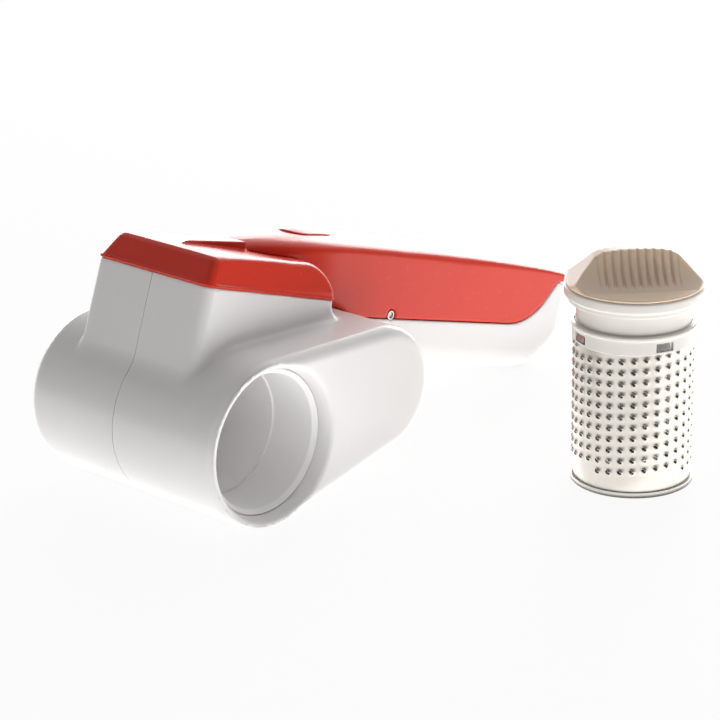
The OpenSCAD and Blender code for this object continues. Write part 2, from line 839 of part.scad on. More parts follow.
// Lid with a sloping left end, a round right end and a crowned top
module lid_block(grow) {
  hull() {
    lid_level(lid_x0 + 0.4, lid_x1 - 0.3, 0.4, lid_z0 + lid_lip, 1.5, grow);
    lid_level(lid_x0 + lid_slope, lid_x1 - lid_round / 4, 3.4, lid_top - 2.4, 0.4, grow);
    lid_level(lid_x0 + lid_slope + 1.8, lid_x1 - lid_round, 5.4, lid_top - 0.5, 0.5, grow);
    lid_level(lid_x0 + 22, lid_x1 - 22, 16, lid_top + 0.5, 0.5, grow);
  }
}

module lid_neck() {
  x1 = nose_x - nose_r - 0.2;
  hull() {
    translate([x1 - 1, seam_y - nose_w / 2, lid_top - 2]) cube([1, nose_w, 2 + neck_rise]);
    translate([neck_tip_x, seam_y, lid_top]) sphere(r = 1.2, $fn = 16);
  }
}

module presser_screw_points() {
  for (x = [presser_x0 + 6.5, presser_x1 - 16], y = [presser_y0 + well_inset, presser_y1 - well_inset])
    translate([x, y, 0]) children();
}

module arm_screw_points() {
  for (s = [-1, 1]) translate([nose_x + 4, seam_y + s * 4.5, 0]) children();
}

module presser_lid() {
  color("orangered") lying() difference() {
    union() {
      lid_block(0);
      translate([0, 0, lid_z0]) linear_extrude(lid_lip)
        round_rect(lid_x0, lid_x1, lid_y0, lid_y1, hopper_corner + lid_over);
      lid_neck();
    }
    difference() {
      union() {
        translate([0, 0, lid_z0 - 1]) linear_extrude(3.6)
          round_rect(lid_x0 + 3.2, lid_x1 - 3.2, lid_y0 + 3.2, lid_y1 - 3.2, hopper_corner - 2);
        translate([0, 0, lid_z0 - 1]) linear_extrude(lid_inner_z - lid_z0 + 1)
          round_rect(presser_x0 - 0.4, presser_x1 + 0.4, presser_y0 + 1, presser_y1 - 1, hopper_corner - 2);
      }
      presser_screw_points() translate([0, 0, presser_top]) cylinder(r = well_r + well_wall, h = 20);
    }
    presser_screw_points() translate([0, 0, presser_top - 1]) cylinder(r = presser_screw_r + screw_gap, h = 5);
    arm_screw_points() translate([0, 0, lid_z0]) cylinder(r = screw_r + screw_gap, h = 30);
  }
}

// Hollow block under the lid, held by screws that go up through deep wells in its face
module presser() {
  slope_x = presser_x1 - 10;
  color("whitesmoke") lying() difference() {
    union() {
      difference() {
        side_block(presser_y0, presser_y1) polygon([[presser_x0, lid_z0 + 1], [presser_x1, lid_z0 + 1],
          [presser_x1, presser_z + 10], [slope_x, presser_z], [presser_x0, presser_z]]);
        side_block(presser_y0 + 2, presser_y1 - 2) polygon([[presser_x0 + 2, presser_top + 10],
          [presser_x1 - 2, presser_top + 10], [presser_x1 - 2, presser_z + 11], [slope_x - 1, presser_z + 2],
          [presser_x0 + 2, presser_z + 2]]);
      }
      presser_screw_points() translate([0, 0, presser_z])
        cylinder(r = well_r + well_wall, h = presser_top - presser_z);
    }
    presser_screw_points() {
      translate([0, 0, presser_z - 1]) cylinder(r = well_r, h = presser_top - well_web - presser_z + 1);
      translate([0, 0, presser_z - 1]) cylinder(r = presser_screw_r + screw_gap, h = presser_top);
    }
  }
}

module presser_screws() {
  color("dimgray") lying() presser_screw_points()
    translate([0, 0, presser_top - well_web - 1.6]) screw(2.2, 1.6, presser_screw_r, well_web + 3.6);
}

module arm_screws() {
  color("dimgray") lying() arm_screw_points()
    translate([0, 0, lid_inner_z - 1.8]) screw(2.6, 1.8, screw_r, 7.4);
}

module arm_shell() {
  color("orangered") lying() difference() {
    union() {
      difference() {
        intersection() {
          grip_block();
          arm_side(cover_gap);
        }
        teardrop(cover_gap);
        translate([-60, 0, -60]) cube([60 + arm_front_x, 100, 60 + lid_top + 0.1]);
        grip_hollow(arm_front_x + wall);
        arm_nose_hollow();
      }
      rod_y(hinge_x, hinge_z, knuckle_r, seam_y - knuckle_len / 2, seam_y + knuckle_len / 2);
      arm_screw_points() translate([0, 0, lid_top + 0.1])
        cylinder(r = 3.2, h = grip_top - nose_drop - 1.5 - lid_top);
    }
    lid_block(joint_gap);
    for (s = [-1, 1]) rod_y(hinge_x, hinge_z, knuckle_r + cover_gap,
      seam_y + s * (knuckle_len / 2 + ear_len / 2 + ear_gap) - ear_len / 2 - ear_gap,
      seam_y + s * (knuckle_len / 2 + ear_len / 2 + ear_gap) + ear_len / 2 + ear_gap);
    rod_y(hinge_x, hinge_z, hinge_pin_r + run_gap, 0, 100);
    rod_y(stop_pin_x, stop_pin_z, notch_r, 0, 100);
    translate([stop_pin_x - notch_r, 0, stop_pin_z - 10]) cube([2 * notch_r, 100, 10]);
    translate([button_x, seam_y, grip_top - wall - 1]) linear_extrude(20)
      oval(button_len + 0.6, button_w + 0.6);
    translate([button_x, seam_y, lid_top + 2]) linear_extrude(grip_top - wall - lid_top - 2)
      oval(button_len + 2 * button_lap + 0.8, button_w + 2 * button_lap + 0.8);
    arm_screw_points() translate([0, 0, lid_top - 1]) cylinder(r = screw_r + screw_gap, h = 5.4);
  }
}

// Hollow of the arm's nose over the lid
module arm_nose_hollow() {
  x0 = nose_x + 5;
  x1 = arm_front_x + wall + 1;
  z0 = grip_top - nose_drop + nose_drop * (x0 - nose_x) / (nose_end_x - nose_x) - wall;
  side_block(seam_y - nose_w / 2 + wall + 1, seam_y + nose_w / 2 - wall - 1)
    polygon([[x0, lid_top + wall], [x1, lid_top + wall], [x1, grip_top - wall],
             [nose_end_x, grip_top - wall], [x0, z0]]);
}

module button_guide() {
  color("tomato") lying() difference() {
    translate([arm_front_x + wall + fit, grip_y0 + wall + fit, shelf_z])
      cube([22, grip_w - 2 * wall - 2 * fit, shelf_h]);
    translate([button_x, seam_y, shelf_z - 1]) cylinder(r = stem_r + fit, h = shelf_h + 2);
  }
}

module thumb_button() {
  color("red") lying() translate([button_x, seam_y, 0]) {
    hull() {
      translate([0, 0, button_flange_z]) linear_extrude(grip_top - button_flange_z + button_rise - 1)
        oval(button_len, button_w);
      translate([0, 0, grip_top + button_rise - 0.5]) linear_extrude(0.5) oval(button_len - 5, button_w - 5);
    }
    translate([0, 0, button_flange_z]) linear_extrude(button_flange_h)
      oval(button_len + 2 * button_lap, button_w + 2 * button_lap);
    translate([0, 0, stem_z]) cylinder(r = stem_r, h = button_flange_z - stem_z + 1);
  }
}

// Coil of wire swept along a helix, as one tube
coil_r = 3.5;
coil_wire = 0.4;
coil_turns = 5;
coil_sides = 6;
coil_steps = 60;

module button_spring() {
  z0 = shelf_z + shelf_h + coil_wire + 0.1;
  z1 = button_flange_z - coil_wire - 0.1;
  ring = [for (i = [0:coil_steps], j = [0:coil_sides - 1])
    let (a = 360 * coil_turns * i / coil_steps, b = 360 * j / coil_sides, r = coil_r + coil_wire * cos(b))
    [r * cos(a), r * sin(a), z0 + (z1 - z0) * i / coil_steps + coil_wire * sin(b)]];
  sides = [for (i = [0:coil_steps - 1], j = [0:coil_sides - 1])
    let (p = i * coil_sides + j, q = i * coil_sides + (j + 1) % coil_sides)
    each [[p, q, q + coil_sides], [p, q + coil_sides, p + coil_sides]]];
  first = [for (j = [1:coil_sides - 2]) [0, j + 1, j]];
  last = [for (j = [1:coil_sides - 2]) let (o = coil_steps * coil_sides) [o, o + j, o + j + 1]];
  color("silver") lying() translate([button_x, seam_y, 0]) polyhedron(ring, concat(sides, first, last));
}

// Standing drum and cap

module standing(z) {
  translate([drum_x, drum_y, floor_z + z]) children();
}

module ring(r1, r0, h) {
  difference() {
    cylinder(r = r1, h = h);
    translate([0, 0, -1]) cylinder(r = r0, h = h + 2);
  }
}

// End plate with slots for the hub's dogs
module drum_base() {
  color("linen") standing(0) difference() {
    union() {
      cylinder(r = base_r, h = base_h);
      cylinder(r = drum_r - sheet - 0.05, h = base_h + 2);
    }
    translate([0, 0, base_h]) cylinder(r = drum_r - sheet - 1.6, h = 5);
    for (a = [0:90:270]) rotate([0, 0, a])
      translate([dog_r0 - 1, -2.6, -1]) cube([dog_r1 - dog_r0 + 2, 5.2, 10]);
  }
}

module grating_drum() {
  first_row = 6.9;
  last_row = drum_h - 4.8;
  color("silver") standing(base_h) difference() {
    ring(drum_r, drum_r - sheet, drum_h);
    for (row = [0:tooth_rows - 1], col = [0:tooth_columns - 1]) {
      z = first_row + row * row_pitch + (col * row_rise) % row_pitch;
      if (z < last_row) rotate([0, 0, hole_turn + 360 * col / tooth_columns]) translate([drum_r - 2, 0, z])
        rotate([0, 90, 0]) cylinder(d = hole_w, h = 4, $fn = 6);
    }
  }
}

module drum_collar() {
  color("linen") standing(collar_z) difference() {
    union() {
      ring(collar_r, drum_r + 0.05, collar_h + collar_lip_h);
      translate([0, 0, collar_h]) ring(collar_lip_r, drum_r + 0.05, collar_lip_h);
    }
    for (a = [0:90:270]) rotate([0, 0, window_turn + a])
      translate([drum_r - 1, -window_w / 2, 1]) cube([6, window_w, window_h]);
  }
}

module cap_plug() {
  color("linen") standing(0) difference() {
    union() {
      translate([0, 0, cap_z - 6]) cylinder(r = plug_r, h = neck_h + 7);
      translate([0, 0, base_h + drum_h]) cylinder(r = drum_r - 0.1, h = cap_z - base_h - drum_h);
      translate([0, 0, cap_z + neck_h]) cylinder(r = step_r, h = step_h + 0.5);
      translate([0, 0, cap_z + neck_h + step_h]) cylinder(r = flange_r, h = flange_h);
    }
    translate([0, 0, cap_z - 7]) cylinder(r = plug_r - 2, h = neck_h + 7);
  }
}

// Ribbed pinch grip: a blade with sloping ends across the cap, hollowed by a round flute on each side
module cap_grip() {
  z0 = cap_z + neck_h + step_h + flange_h;
  r = flange_r - 0.4;
  flute_y = pinch_w / 2 + scoop_r;
  rib_zone = [-rib_pitch * (rib_count / 2), rib_pitch];
  blade_half = [[r, 0], [r, grip_rim], [blade_top / 2 + 2.3, grip_h - 2.4], [blade_top / 2 - 1, grip_h - 1],
                [blade_top / 4.5, grip_h - 0.1], [blade_top / 27, grip_h]];
  color("tan") standing(z0) rotate([0, 0, pinch_turn]) difference() {
    intersection() {
      cylinder(r = r, h = grip_h);
      side_block(-r, r)
        polygon(concat(blade_half, [for (i = [len(blade_half) - 1:-1:0]) [-blade_half[i][0], blade_half[i][1]]]));
    }
    for (s = [-1, 1]) translate([0, s * flute_y, scoop_r + flute_rise]) {
      rotate([0, 90, 0]) cylinder(r = scoop_r, h = 2 * r, center = true);
      for (i = [0:rib_count]) translate([rib_zone[0] + i * rib_zone[1], 0, 0])
        rotate([0, 90, 0]) cylinder(r = scoop_r + rib_depth, h = rib_pitch / 3, center = true);
    }
  }
}

front_shell();
rear_shell();
handle_front();
handle_rear();
drum_chamber();
food_chute();
gear_plate();
plate_screws();
motor();
drive_axle();
idler_axle();
battery_cells();
battery_cover();
circuit_board();
micro_switch();
switch_plate();
charge_contacts();
housing_screws();
stop_pin();
hinge_pin();
arm_shell();
presser_lid();
presser();
presser_screws();
arm_screws();
button_guide();
button_spring();
thumb_button();
motor_pinion();
idler_gear();
drive_hub();
drum_base();
grating_drum();
drum_collar();
cap_plug();
cap_grip();
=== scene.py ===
# Cordless rotary grater with its grating drum and grip cap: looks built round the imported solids.
import json
import math

import bpy
import bmesh
import numpy as np
from mathutils import Matrix, Vector


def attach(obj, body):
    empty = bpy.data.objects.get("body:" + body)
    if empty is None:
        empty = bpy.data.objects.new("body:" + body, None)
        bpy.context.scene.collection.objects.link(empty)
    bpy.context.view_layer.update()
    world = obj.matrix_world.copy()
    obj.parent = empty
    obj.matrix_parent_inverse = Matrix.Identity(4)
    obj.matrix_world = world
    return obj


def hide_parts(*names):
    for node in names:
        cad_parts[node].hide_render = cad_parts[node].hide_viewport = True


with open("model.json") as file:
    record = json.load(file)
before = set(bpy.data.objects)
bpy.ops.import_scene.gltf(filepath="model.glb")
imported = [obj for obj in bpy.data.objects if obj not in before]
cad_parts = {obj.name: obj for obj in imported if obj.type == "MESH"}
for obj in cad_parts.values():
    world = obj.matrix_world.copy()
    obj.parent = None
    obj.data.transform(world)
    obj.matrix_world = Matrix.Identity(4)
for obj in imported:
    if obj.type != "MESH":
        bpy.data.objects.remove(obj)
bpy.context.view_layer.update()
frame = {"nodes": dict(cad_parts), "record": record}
nodes = frame["nodes"]
scene = bpy.context.scene
scene.view_settings.view_transform = "Standard"

# Sizes of the grater in millimetres, square to its handle; +Y runs into the drum bore.
BODY_R, LOBE_R, LOBE_X, LOBE_Z = 32.0, 24.5, 57.0, 21.0
FRONT_Y, BACK_Y, SEAM_Y, SEAM_GAP = -7.0, 95.0, 47.0, 0.28
BODY_EDGE = 5.0
WALL = 2.4
BORE_R, INNER_BORE_R, SLEEVE_R, STEP_Y, LIP_Y, SLEEVE_END = 25.7, 24.9, 27.7, 20.0, 1.5, 76.1
HOP_X0, HOP_X1, HOP_HALF, HOP_LEAN = -24.0, 45.0, 30.0, 2.3
CHUTE_X = (-17.5, 17.5)
CHUTE_Y = (23.5, 70.5)
LID_GAP = 0.14
PRESSER_LO, PRESSER_HI = (-15.95, 22.05, 28.0), (36.95, 70.7, 53.4)
WELLS = [(x, y) for x in (-9.45, 20.95) for y in (30.35, 62.4)]
TAIL_X, HEEL_X, HEEL_Z, HEEL_R, GRIP_BOTTOM = 205.5, 188.5, 39.2, 17.0, 22.2
GRIP_HALF, GRIP_TOP, CROWN_X = 18.0, 73.3, 65.0
PART_Z, TAIL_PART_Z, PART_R, PART_SLOPE, PART_X, PART_GAP = 42.0, 61.0, 30.0, 52.0, 170.2, 0.4
NOSE_X, NECK_TIP_X, NECK_FULL_X = 14.0, -11.0, 39.0
PIN_X, PIN_Z, PIN_R = 93.7, 43.7, 2.0
HINGE_X, HINGE_Z = 205.9, 61.2
BUTTON_X, BUTTON_HALF_L, BUTTON_R = 54.0, 4.6, 7.0
PLATE_X, PLATE_Y = (49.0, 69.0), (25.0, 69.0)
HINGE_EYE_R, HINGE_ROOM_R, HINGE_BORE_R = 2.4, 2.8, 1.25
SCREW_POSTS, LOBE_SCREW = ((190.0, 40.2), (85.0, 33.0)), (74.0, 14.8)
POST_R, SCREW_HOLE_R, STEM_HOLE_R, CONTACT_HOLE_R = 3.2, 2.75, 1.6, 2.05
FLOOR_Z = -32.0
TILT = math.atan2(HEEL_Z, HEEL_X) + math.asin((BODY_R - HEEL_R) / math.hypot(HEEL_X, HEEL_Z))

# Standing drum and cap, heights over the table
DRUM = (124.0, -75.0)
DRUM_R, SHEET, SHEET_Z0, SHEET_Z1 = 22.5, 0.5, 2.0, 61.0
COLUMNS, ROW_PITCH, ROW_RISE = 31, 4.4, 0.44
FIRST_COLUMN, FIRST_ROW, LAST_ROW = -177.6, 8.9, 56.2
COLLAR_Z, COLLAR_R, LIP_R, CAP_Z = 56.7, 23.3, 24.0, 64.0
WINDOW_TURN, WINDOW_W, WINDOW_Z = -113.0, 7.4, (57.7, 61.1)
NECK_R, STEP_R, FLANGE_R = 21.9, 25.0, 26.5
STEP_Z, FLANGE_Z, GRIP_Z, GRIP_H = 71.6, 73.6, 78.0, 14.3
PINCH_TURN, FLUTE_R, FLUTE_Y, FLUTE_Z, GRIP_FOOT = -43.0, 26.0, 27.0, 25.1, 1.2
RIB_PITCH, RIB_DEPTH, RIBS = 3.1, 1.0, 9


# Signed distances, in millimetres, negative inside

def smin(a, b, k):
    h = np.maximum(k - np.abs(a - b), 0) / k
    return np.minimum(a, b) - h * h * k * 0.25


def smax(a, b, k):
    return -smin(-a, -b, k)


def poly2(px, pz, points):
    """Distance to a closed outline."""
    pts = np.asarray(points, np.float32)
    d = (px - pts[0, 0]) ** 2 + (pz - pts[0, 1]) ** 2
    s = np.ones_like(d)
    j = len(pts) - 1
    for i in range(len(pts)):
        ex, ez = pts[j] - pts[i]
        wx, wz = px - pts[i, 0], pz - pts[i, 1]
        t = np.clip((wx * ex + wz * ez) / (ex * ex + ez * ez + 1e-12), 0, 1)
        d = np.minimum(d, (wx - ex * t) ** 2 + (wz - ez * t) ** 2)
        c1, c2, c3 = pz >= pts[i, 1], pz < pts[j, 1], ex * wz > ez * wx
        s = np.where((c1 & c2 & c3) | (~c1 & ~c2 & ~c3), -s, s)
        j = i
    return s * np.sqrt(d)


def extrude(d2, w, e):
    """Outline distance d2 carried across, where w is the distance past the side faces, with edges rounded by e."""
    a, b = d2 + e, w + e
    return np.minimum(np.maximum(a, b), 0) + np.hypot(np.maximum(a, 0), np.maximum(b, 0)) - e


def disc_y(x, y, z, cx, cz, r, y0, y1):
    return np.maximum(np.hypot(x - cx, z - cz) - r, np.abs(y - (y0 + y1) / 2) - (y1 - y0) / 2)


def box3(x, y, z, lo, hi):
    return np.maximum(np.maximum(np.abs(x - (lo[0] + hi[0]) / 2) - (hi[0] - lo[0]) / 2,
                                 np.abs(y - (lo[1] + hi[1]) / 2) - (hi[1] - lo[1]) / 2),
                      np.abs(z - (lo[2] + hi[2]) / 2) - (hi[2] - lo[2]) / 2)


def teardrop2(x, z, grow=0.0):
    """Hull of the drum housing's circle and the lobe's circle."""
    h = math.hypot(LOBE_X, LOBE_Z)
    ux, uz = LOBE_X / h, LOBE_Z / h
    along, across = x * ux + z * uz, np.abs(-x * uz + z * ux)
    r1, r2 = BODY_R + grow, LOBE_R + grow
    b = (r1 - r2) / h
    a = math.sqrt(1 - b * b)
    k = along * a - across * b
    return np.where(k < 0, np.hypot(across, along) - r1,
                    np.where(k > a * h, np.hypot(across, along - h) - r2, across * a + along * b - r1))


def round_rect2(x, y, x0, x1, y0, y1, r):
    qx, qy = np.abs(x - (x0 + x1) / 2) - (x1 - x0) / 2 + r, np.abs(y - (y0 + y1) / 2) - (y1 - y0) / 2 + r
    return np.hypot(np.maximum(qx, 0), np.maximum(qy, 0)) + np.minimum(np.maximum(qx, qy), 0) - r


def arc(cx, cz, r, a0, a1, n):
    return [(cx + r * math.cos(math.radians(a0 + (a1 - a0) * i / n)),
             cz + r * math.sin(math.radians(a0 + (a1 - a0) * i / n))) for i in range(n + 1)]


# The grater's forms

def top_at(x):
    """Height of the arm's back along the handle."""
    x = np.asarray(x, float)
    return np.where(x > CROWN_X, GRIP_TOP - 7.0 * ((x - CROWN_X) / 140) ** 2,
                    GRIP_TOP - 5.2 * (np.maximum(CROWN_X - x, 0) / 51) ** 2)


def arm_top(x, y):
    """Height of the arm's back, which falls to its sides, less so at the tail."""
    fall = 0.9 + 2.9 * np.clip((190 - x) / 90, 0, 1)
    return top_at(x) - fall * ((y - SEAM_Y) / GRIP_HALF) ** 2


GRIP = ([(60, GRIP_BOTTOM)] + arc(HEEL_X, HEEL_Z, HEEL_R, -90, 0, 10) + arc(TAIL_X - 1.6, 64.7, 1.6, 0, 80, 4)
        + [(x, float(top_at(x))) for x in range(200, 8, -4)] + [(8, 62), (60, PART_Z)])


def arm_zone(g):
    """Side outline of the arm's part of the handle, drawn back by g."""
    zc, r, a1 = PART_Z + PART_R, PART_R - g, math.radians(PART_SLOPE - 90)
    zs = zc + r * math.sin(a1)
    xe = PART_X + r * math.cos(a1) + (TAIL_PART_Z + g - zs) / math.tan(math.radians(PART_SLOPE))
    return ([(-60, PART_Z + g)] + arc(PART_X, zc, r, -90, PART_SLOPE - 90, 10)
            + [(xe, TAIL_PART_Z + g), (TAIL_X + 40, TAIL_PART_Z + g), (TAIL_X + 40, 140), (-60, 140)])


ZONE_LOW, ZONE_ARM = arm_zone(0.0), arm_zone(PART_GAP)


def grip_edge(x, z):
    """Edge rounding of the handle: wide under the hand, close at the tail."""
    low = 10.0 * np.clip((44 - z) / 12, 0, 1)
    high = 3.2 + 3.6 * np.clip((195 - x) / 60, 0, 1)
    return np.maximum(low, high)


def body_outer(x, y, z, grow=0.0):
    half = (BACK_Y - FRONT_Y) / 2
    return extrude(teardrop2(x, z), np.abs(y - FRONT_Y - half) - half, BODY_EDGE) - grow


def rim_at(x):
    """Height of the hopper's rim, which falls a little towards the handle."""
    return 53.2 - 0.039 * (x - HOP_X0)


def hopper_corner(x, y):
    return np.where(x < 10, np.where(y < SEAM_Y, 4.6, 2.6), 3.0)


def hopper(x, y, z):
    lean = HOP_LEAN * np.clip((53 - z) / 35, 0, 1.3)
    corner = hopper_corner(x, y)
    side = HOP_HALF + 0.2 * lean
    return np.maximum(round_rect2(x, y, HOP_X0 - lean, HOP_X1 + lean, SEAM_Y - side, SEAM_Y + side, corner), 12 - z)


def housing_outer(x, y, z):
    hop = smax(hopper(x, y, z), z - rim_at(x), 0.5)
    f = smin(body_outer(x, y, z), hop, 2.2 + 4.0 * np.clip((x + 24) / 16, 0, 1))
    low = extrude(poly2(x, z, GRIP), np.abs(y - SEAM_Y) - GRIP_HALF, grip_edge(x, z))
    low = smax(np.maximum(low, 62 - x), -poly2(x, z, ZONE_LOW), 0.7)
    return smin(f, low, 3.0)


def housing(x, y, z):
    """Both shells and both handle halves, hollow, with their holes and posts."""
    f = housing_outer(x, y, z)
    hollow = extrude(teardrop2(x, z, -WALL), np.abs(y - 44) - 48.6, 3.0)
    throat = round_rect2(x, y, HOP_X0 + WALL, HOP_X1 - WALL, SEAM_Y - HOP_HALF + WALL, SEAM_Y + HOP_HALF - WALL, 4.6)
    hollow = np.minimum(hollow, np.maximum(throat, 8 - z))
    grip = extrude(poly2(x, z, GRIP) + WALL, np.abs(y - SEAM_Y) - GRIP_HALF + WALL, 7.0)
    hollow = np.minimum(hollow, np.maximum(grip, LOBE_X + LOBE_R + 1 - x))
    f = smax(f, -hollow, 0.6)
    r = np.hypot(x, z)
    f = np.minimum(f, np.maximum(np.maximum(r - 31.2, y - 6), -6 - y))
    for bx, bz in SCREW_POSTS:
        f = np.minimum(f, disc_y(x, y, z, bx, bz, POST_R, 30.5, 63.5))
    for py in (32.2, 58.0):
        f = np.minimum(f, box3(x, y, z, (90.0, py, 26.0), (97.4, py + 3.8, 47.1)))
    for ey in (34.0, 53.0):
        f = np.minimum(f, disc_y(x, y, z, HINGE_X, HINGE_Z, HINGE_EYE_R, ey, ey + 7))
    flare = SLEEVE_R + 0.15 + 2.2 * np.clip((-LIP_Y - y) / 5.5, 0, 1.5) ** 1.6
    f = smax(f, -np.maximum(r - flare, y - 20), 1.4)
    f = np.maximum(f, -(np.hypot(x - PIN_X, z - PIN_Z) - PIN_R - 0.05))
    f = np.maximum(f, -(np.hypot(x - HINGE_X, z - HINGE_Z) - HINGE_BORE_R))
    f = np.maximum(f, -disc_y(x, y, z, HINGE_X, HINGE_Z, HINGE_ROOM_R, 41.0, 53.0))
    f = np.maximum(f, -np.maximum(box3(x, y, z, (PLATE_X[0], PLATE_Y[0], LOBE_Z), (PLATE_X[1], PLATE_Y[1], 60)),
                                  LOBE_R - 1.5 - np.hypot(x - LOBE_X, z - LOBE_Z)))
    f = np.maximum(f, -np.maximum(np.hypot(x - BUTTON_X, y - SEAM_Y) - STEM_HOLE_R, 38 - z))
    for cy in (41.0, 53.0):
        f = np.maximum(f, -np.maximum(np.hypot(y - cy, z - 50) - CONTACT_HOLE_R, 195 - x))
    for (sx, sz), sy in [(post, SEAM_Y + GRIP_HALF) for post in SCREW_POSTS] + [(LOBE_SCREW, BACK_Y)]:
        f = np.maximum(f, -disc_y(x, y, z, sx, sz, SCREW_HOLE_R, sy - 5, sy + 10))
    return f


def crown(t):
    """Height of the lid's top along its length."""
    return 63.6 + 1.3 * math.sin(math.pi * (0.1 + 0.9 * t))


LID_SIDE = ([(-24.3, 48.0), (-23.9, 54.6), (-19.6, 62.4), (-18.0, 63.7)]
            + [(-18.0 + 46 * t, crown(t)) for t in (0.1, 0.3, 0.5, 0.7, 0.9)]
            + [(30.3 + 14.8 * math.sin(math.radians(a)), 50.8 + 13.2 * math.cos(math.radians(a)))
               for a in range(0, 91, 10)]
            + [(45.1, 48.0)])


def wedge_half(x):
    """Half width of the pointed neck that widens into the arm."""
    return np.maximum(smin(GRIP_HALF * (x - NECK_TIP_X) / (NECK_FULL_X - NECK_TIP_X), GRIP_HALF + 0 * x, 7.0), 0)


def lid_outer(x, y, z):
    half = 30.1 - np.maximum(z - 53.5, 0) * 0.36
    f = smax(poly2(x, z, LID_SIDE), (np.abs(y - SEAM_Y) - half) * 0.94, 2.8)
    f = smax(f, z - (64.2 + 1.3 * (1 - ((y - SEAM_Y) / 28) ** 2)), 1.4)
    rim = rim_at(x) + LID_GAP
    lip = round_rect2(x, y, HOP_X0 - 0.6, HOP_X1 + 0.6, SEAM_Y - HOP_HALF - 0.6, SEAM_Y + HOP_HALF + 0.6,
                      hopper_corner(x, y) + 0.6)
    f = np.minimum(f, smax(lip, z - rim - 1.2, 0.6))
    neck_top = 65.5 + 2.3 * np.clip((x - NECK_TIP_X) / 25, 0, 1.2)
    neck = smax((np.abs(y - SEAM_Y) - wedge_half(x)) * 0.94, z - neck_top, 1.0)
    neck = np.maximum(np.maximum(np.maximum(neck, 55 - z), x - NOSE_X + 0.2), NECK_TIP_X - x)
    return smax(smin(f, neck, 1.2), rim - z, 0.4)


def lid(x, y, z):
    f = lid_outer(x, y, z)
    skirt = round_rect2(x, y, HOP_X0 + 2.6, HOP_X1 - 2.6, SEAM_Y - 27.4, SEAM_Y + 27.4, 3)
    f = np.maximum(f, -np.maximum(skirt, z - 55.0))
    f = np.maximum(f, -np.maximum(round_rect2(x, y, PRESSER_LO[0] - 0.4, PRESSER_HI[0] + 0.4, 23.0, 69.7, 4), z - 60.2))
    for wx, wy in WELLS:
        f = np.minimum(f, np.maximum(np.hypot(x - wx, y - wy) - 4.0, np.abs(z - 60.2) - 2.2))
    return f


def presser_block(x, y, z):
    f = box3(x, y, z, PRESSER_LO, PRESSER_HI)
    f = smax(f, (x - PRESSER_HI[0] + 10 + PRESSER_LO[2] - z) * 0.7071, 2.5)
    f = extrude(f, f, 1.2)
    f = np.maximum(f, -np.maximum(box3(x, y, z, (PRESSER_LO[0] + 2, PRESSER_LO[1] + 2, 30.0),
                                       (PRESSER_HI[0] - 2, PRESSER_HI[1] - 2, 80.0)), (x - 25 + 30 - z) * 0.7071))
    for wx, wy in WELLS:
        well = np.hypot(x - wx, y - wy)
        f = np.minimum(f, np.maximum(well - 4.0, np.maximum(PRESSER_LO[2] + 0.6 - z, z - 57.9)))
        f = smax(f, -np.maximum(well - 2.6, z - 54.4), 0.8)
    return f


def button_oval(x, y, grow):
    """Distance to the button's oval in plan, grown a little for the hole round it."""
    return np.hypot(np.maximum(np.abs(x - BUTTON_X) - BUTTON_HALF_L, 0), y - SEAM_Y) - BUTTON_R - grow


def arm(x, y, z):
    side = poly2(x, z, GRIP)
    f = extrude(side, (np.abs(y - SEAM_Y) - wedge_half(x)) * np.where(x < NECK_FULL_X, 0.94, 1.0), grip_edge(x, z))
    f = smax(f, z - arm_top(x, y), 2.0)
    f = smax(f, poly2(x, z, ZONE_ARM), 0.9)
    f = smax(f, NOSE_X - x, 0.8)
    f = smax(f, -body_outer(x, y, z, 0.45), 0.7)
    f = np.maximum(f, -np.maximum(x - HOP_X1 - 1.6, z - 60.0))
    f = np.maximum(f, 0.05 - lid_outer(x, y, z))
    hollow = extrude(side + WALL, np.abs(y - SEAM_Y) - GRIP_HALF + WALL, 4.0)
    f = np.maximum(f, -np.maximum(np.maximum(hollow, z - arm_top(x, y) + WALL), 49.0 - x))
    f = np.minimum(f, disc_y(x, y, z, HINGE_X, HINGE_Z, HINGE_EYE_R, 41.4, 52.6))
    for ey in (33.6, 52.6):
        f = np.maximum(f, -disc_y(x, y, z, HINGE_X, HINGE_Z, HINGE_ROOM_R, ey, ey + 7.8))
    f = np.maximum(f, -(np.hypot(x - HINGE_X, z - HINGE_Z) - HINGE_BORE_R))
    notch = np.minimum(np.hypot(x - PIN_X, z - PIN_Z), np.maximum(np.abs(x - PIN_X), z - PIN_Z + PIN_R + 0.5))
    f = smax(f, PIN_R + 0.5 - notch, 0.6)
    f = smax(f, -np.maximum(button_oval(x, y, 0.25), 70.2 - z), 0.4)
    return np.maximum(f, -np.maximum(button_oval(x, y, 1.4), np.abs(z - 68.4) - 2.0))


def button(x, y, z):
    oval = button_oval(x, y, 0.0)
    dome = arm_top(x, y) + 0.1 + 0.4 * np.clip(-oval / 5, 0, 1)
    f = np.maximum(smax(oval, z - dome, 0.9), 69.0 - z)
    f = np.minimum(f, np.maximum(button_oval(x, y, 1.0), np.abs(z - 69.75) - 0.75))
    return np.minimum(f, np.maximum(np.hypot(x - BUTTON_X, y - SEAM_Y) - 2.5, np.abs(z - 61.6) - 7.9))


def switch_plate(x, y, z):
    """Flush plate on the lobe's back, over the switch."""
    f = box3(x, y, z, (PLATE_X[0] + 0.15, PLATE_Y[0] + 0.15, LOBE_Z), (PLATE_X[1] - 0.15, PLATE_Y[1] - 0.15, 60))
    f = np.maximum(f, LOBE_R - 1.45 - np.hypot(x - LOBE_X, z - LOBE_Z))
    f = smax(f, teardrop2(x, z), 0.3)
    return np.maximum(f, STEM_HOLE_R - np.hypot(x - BUTTON_X, y - SEAM_Y))


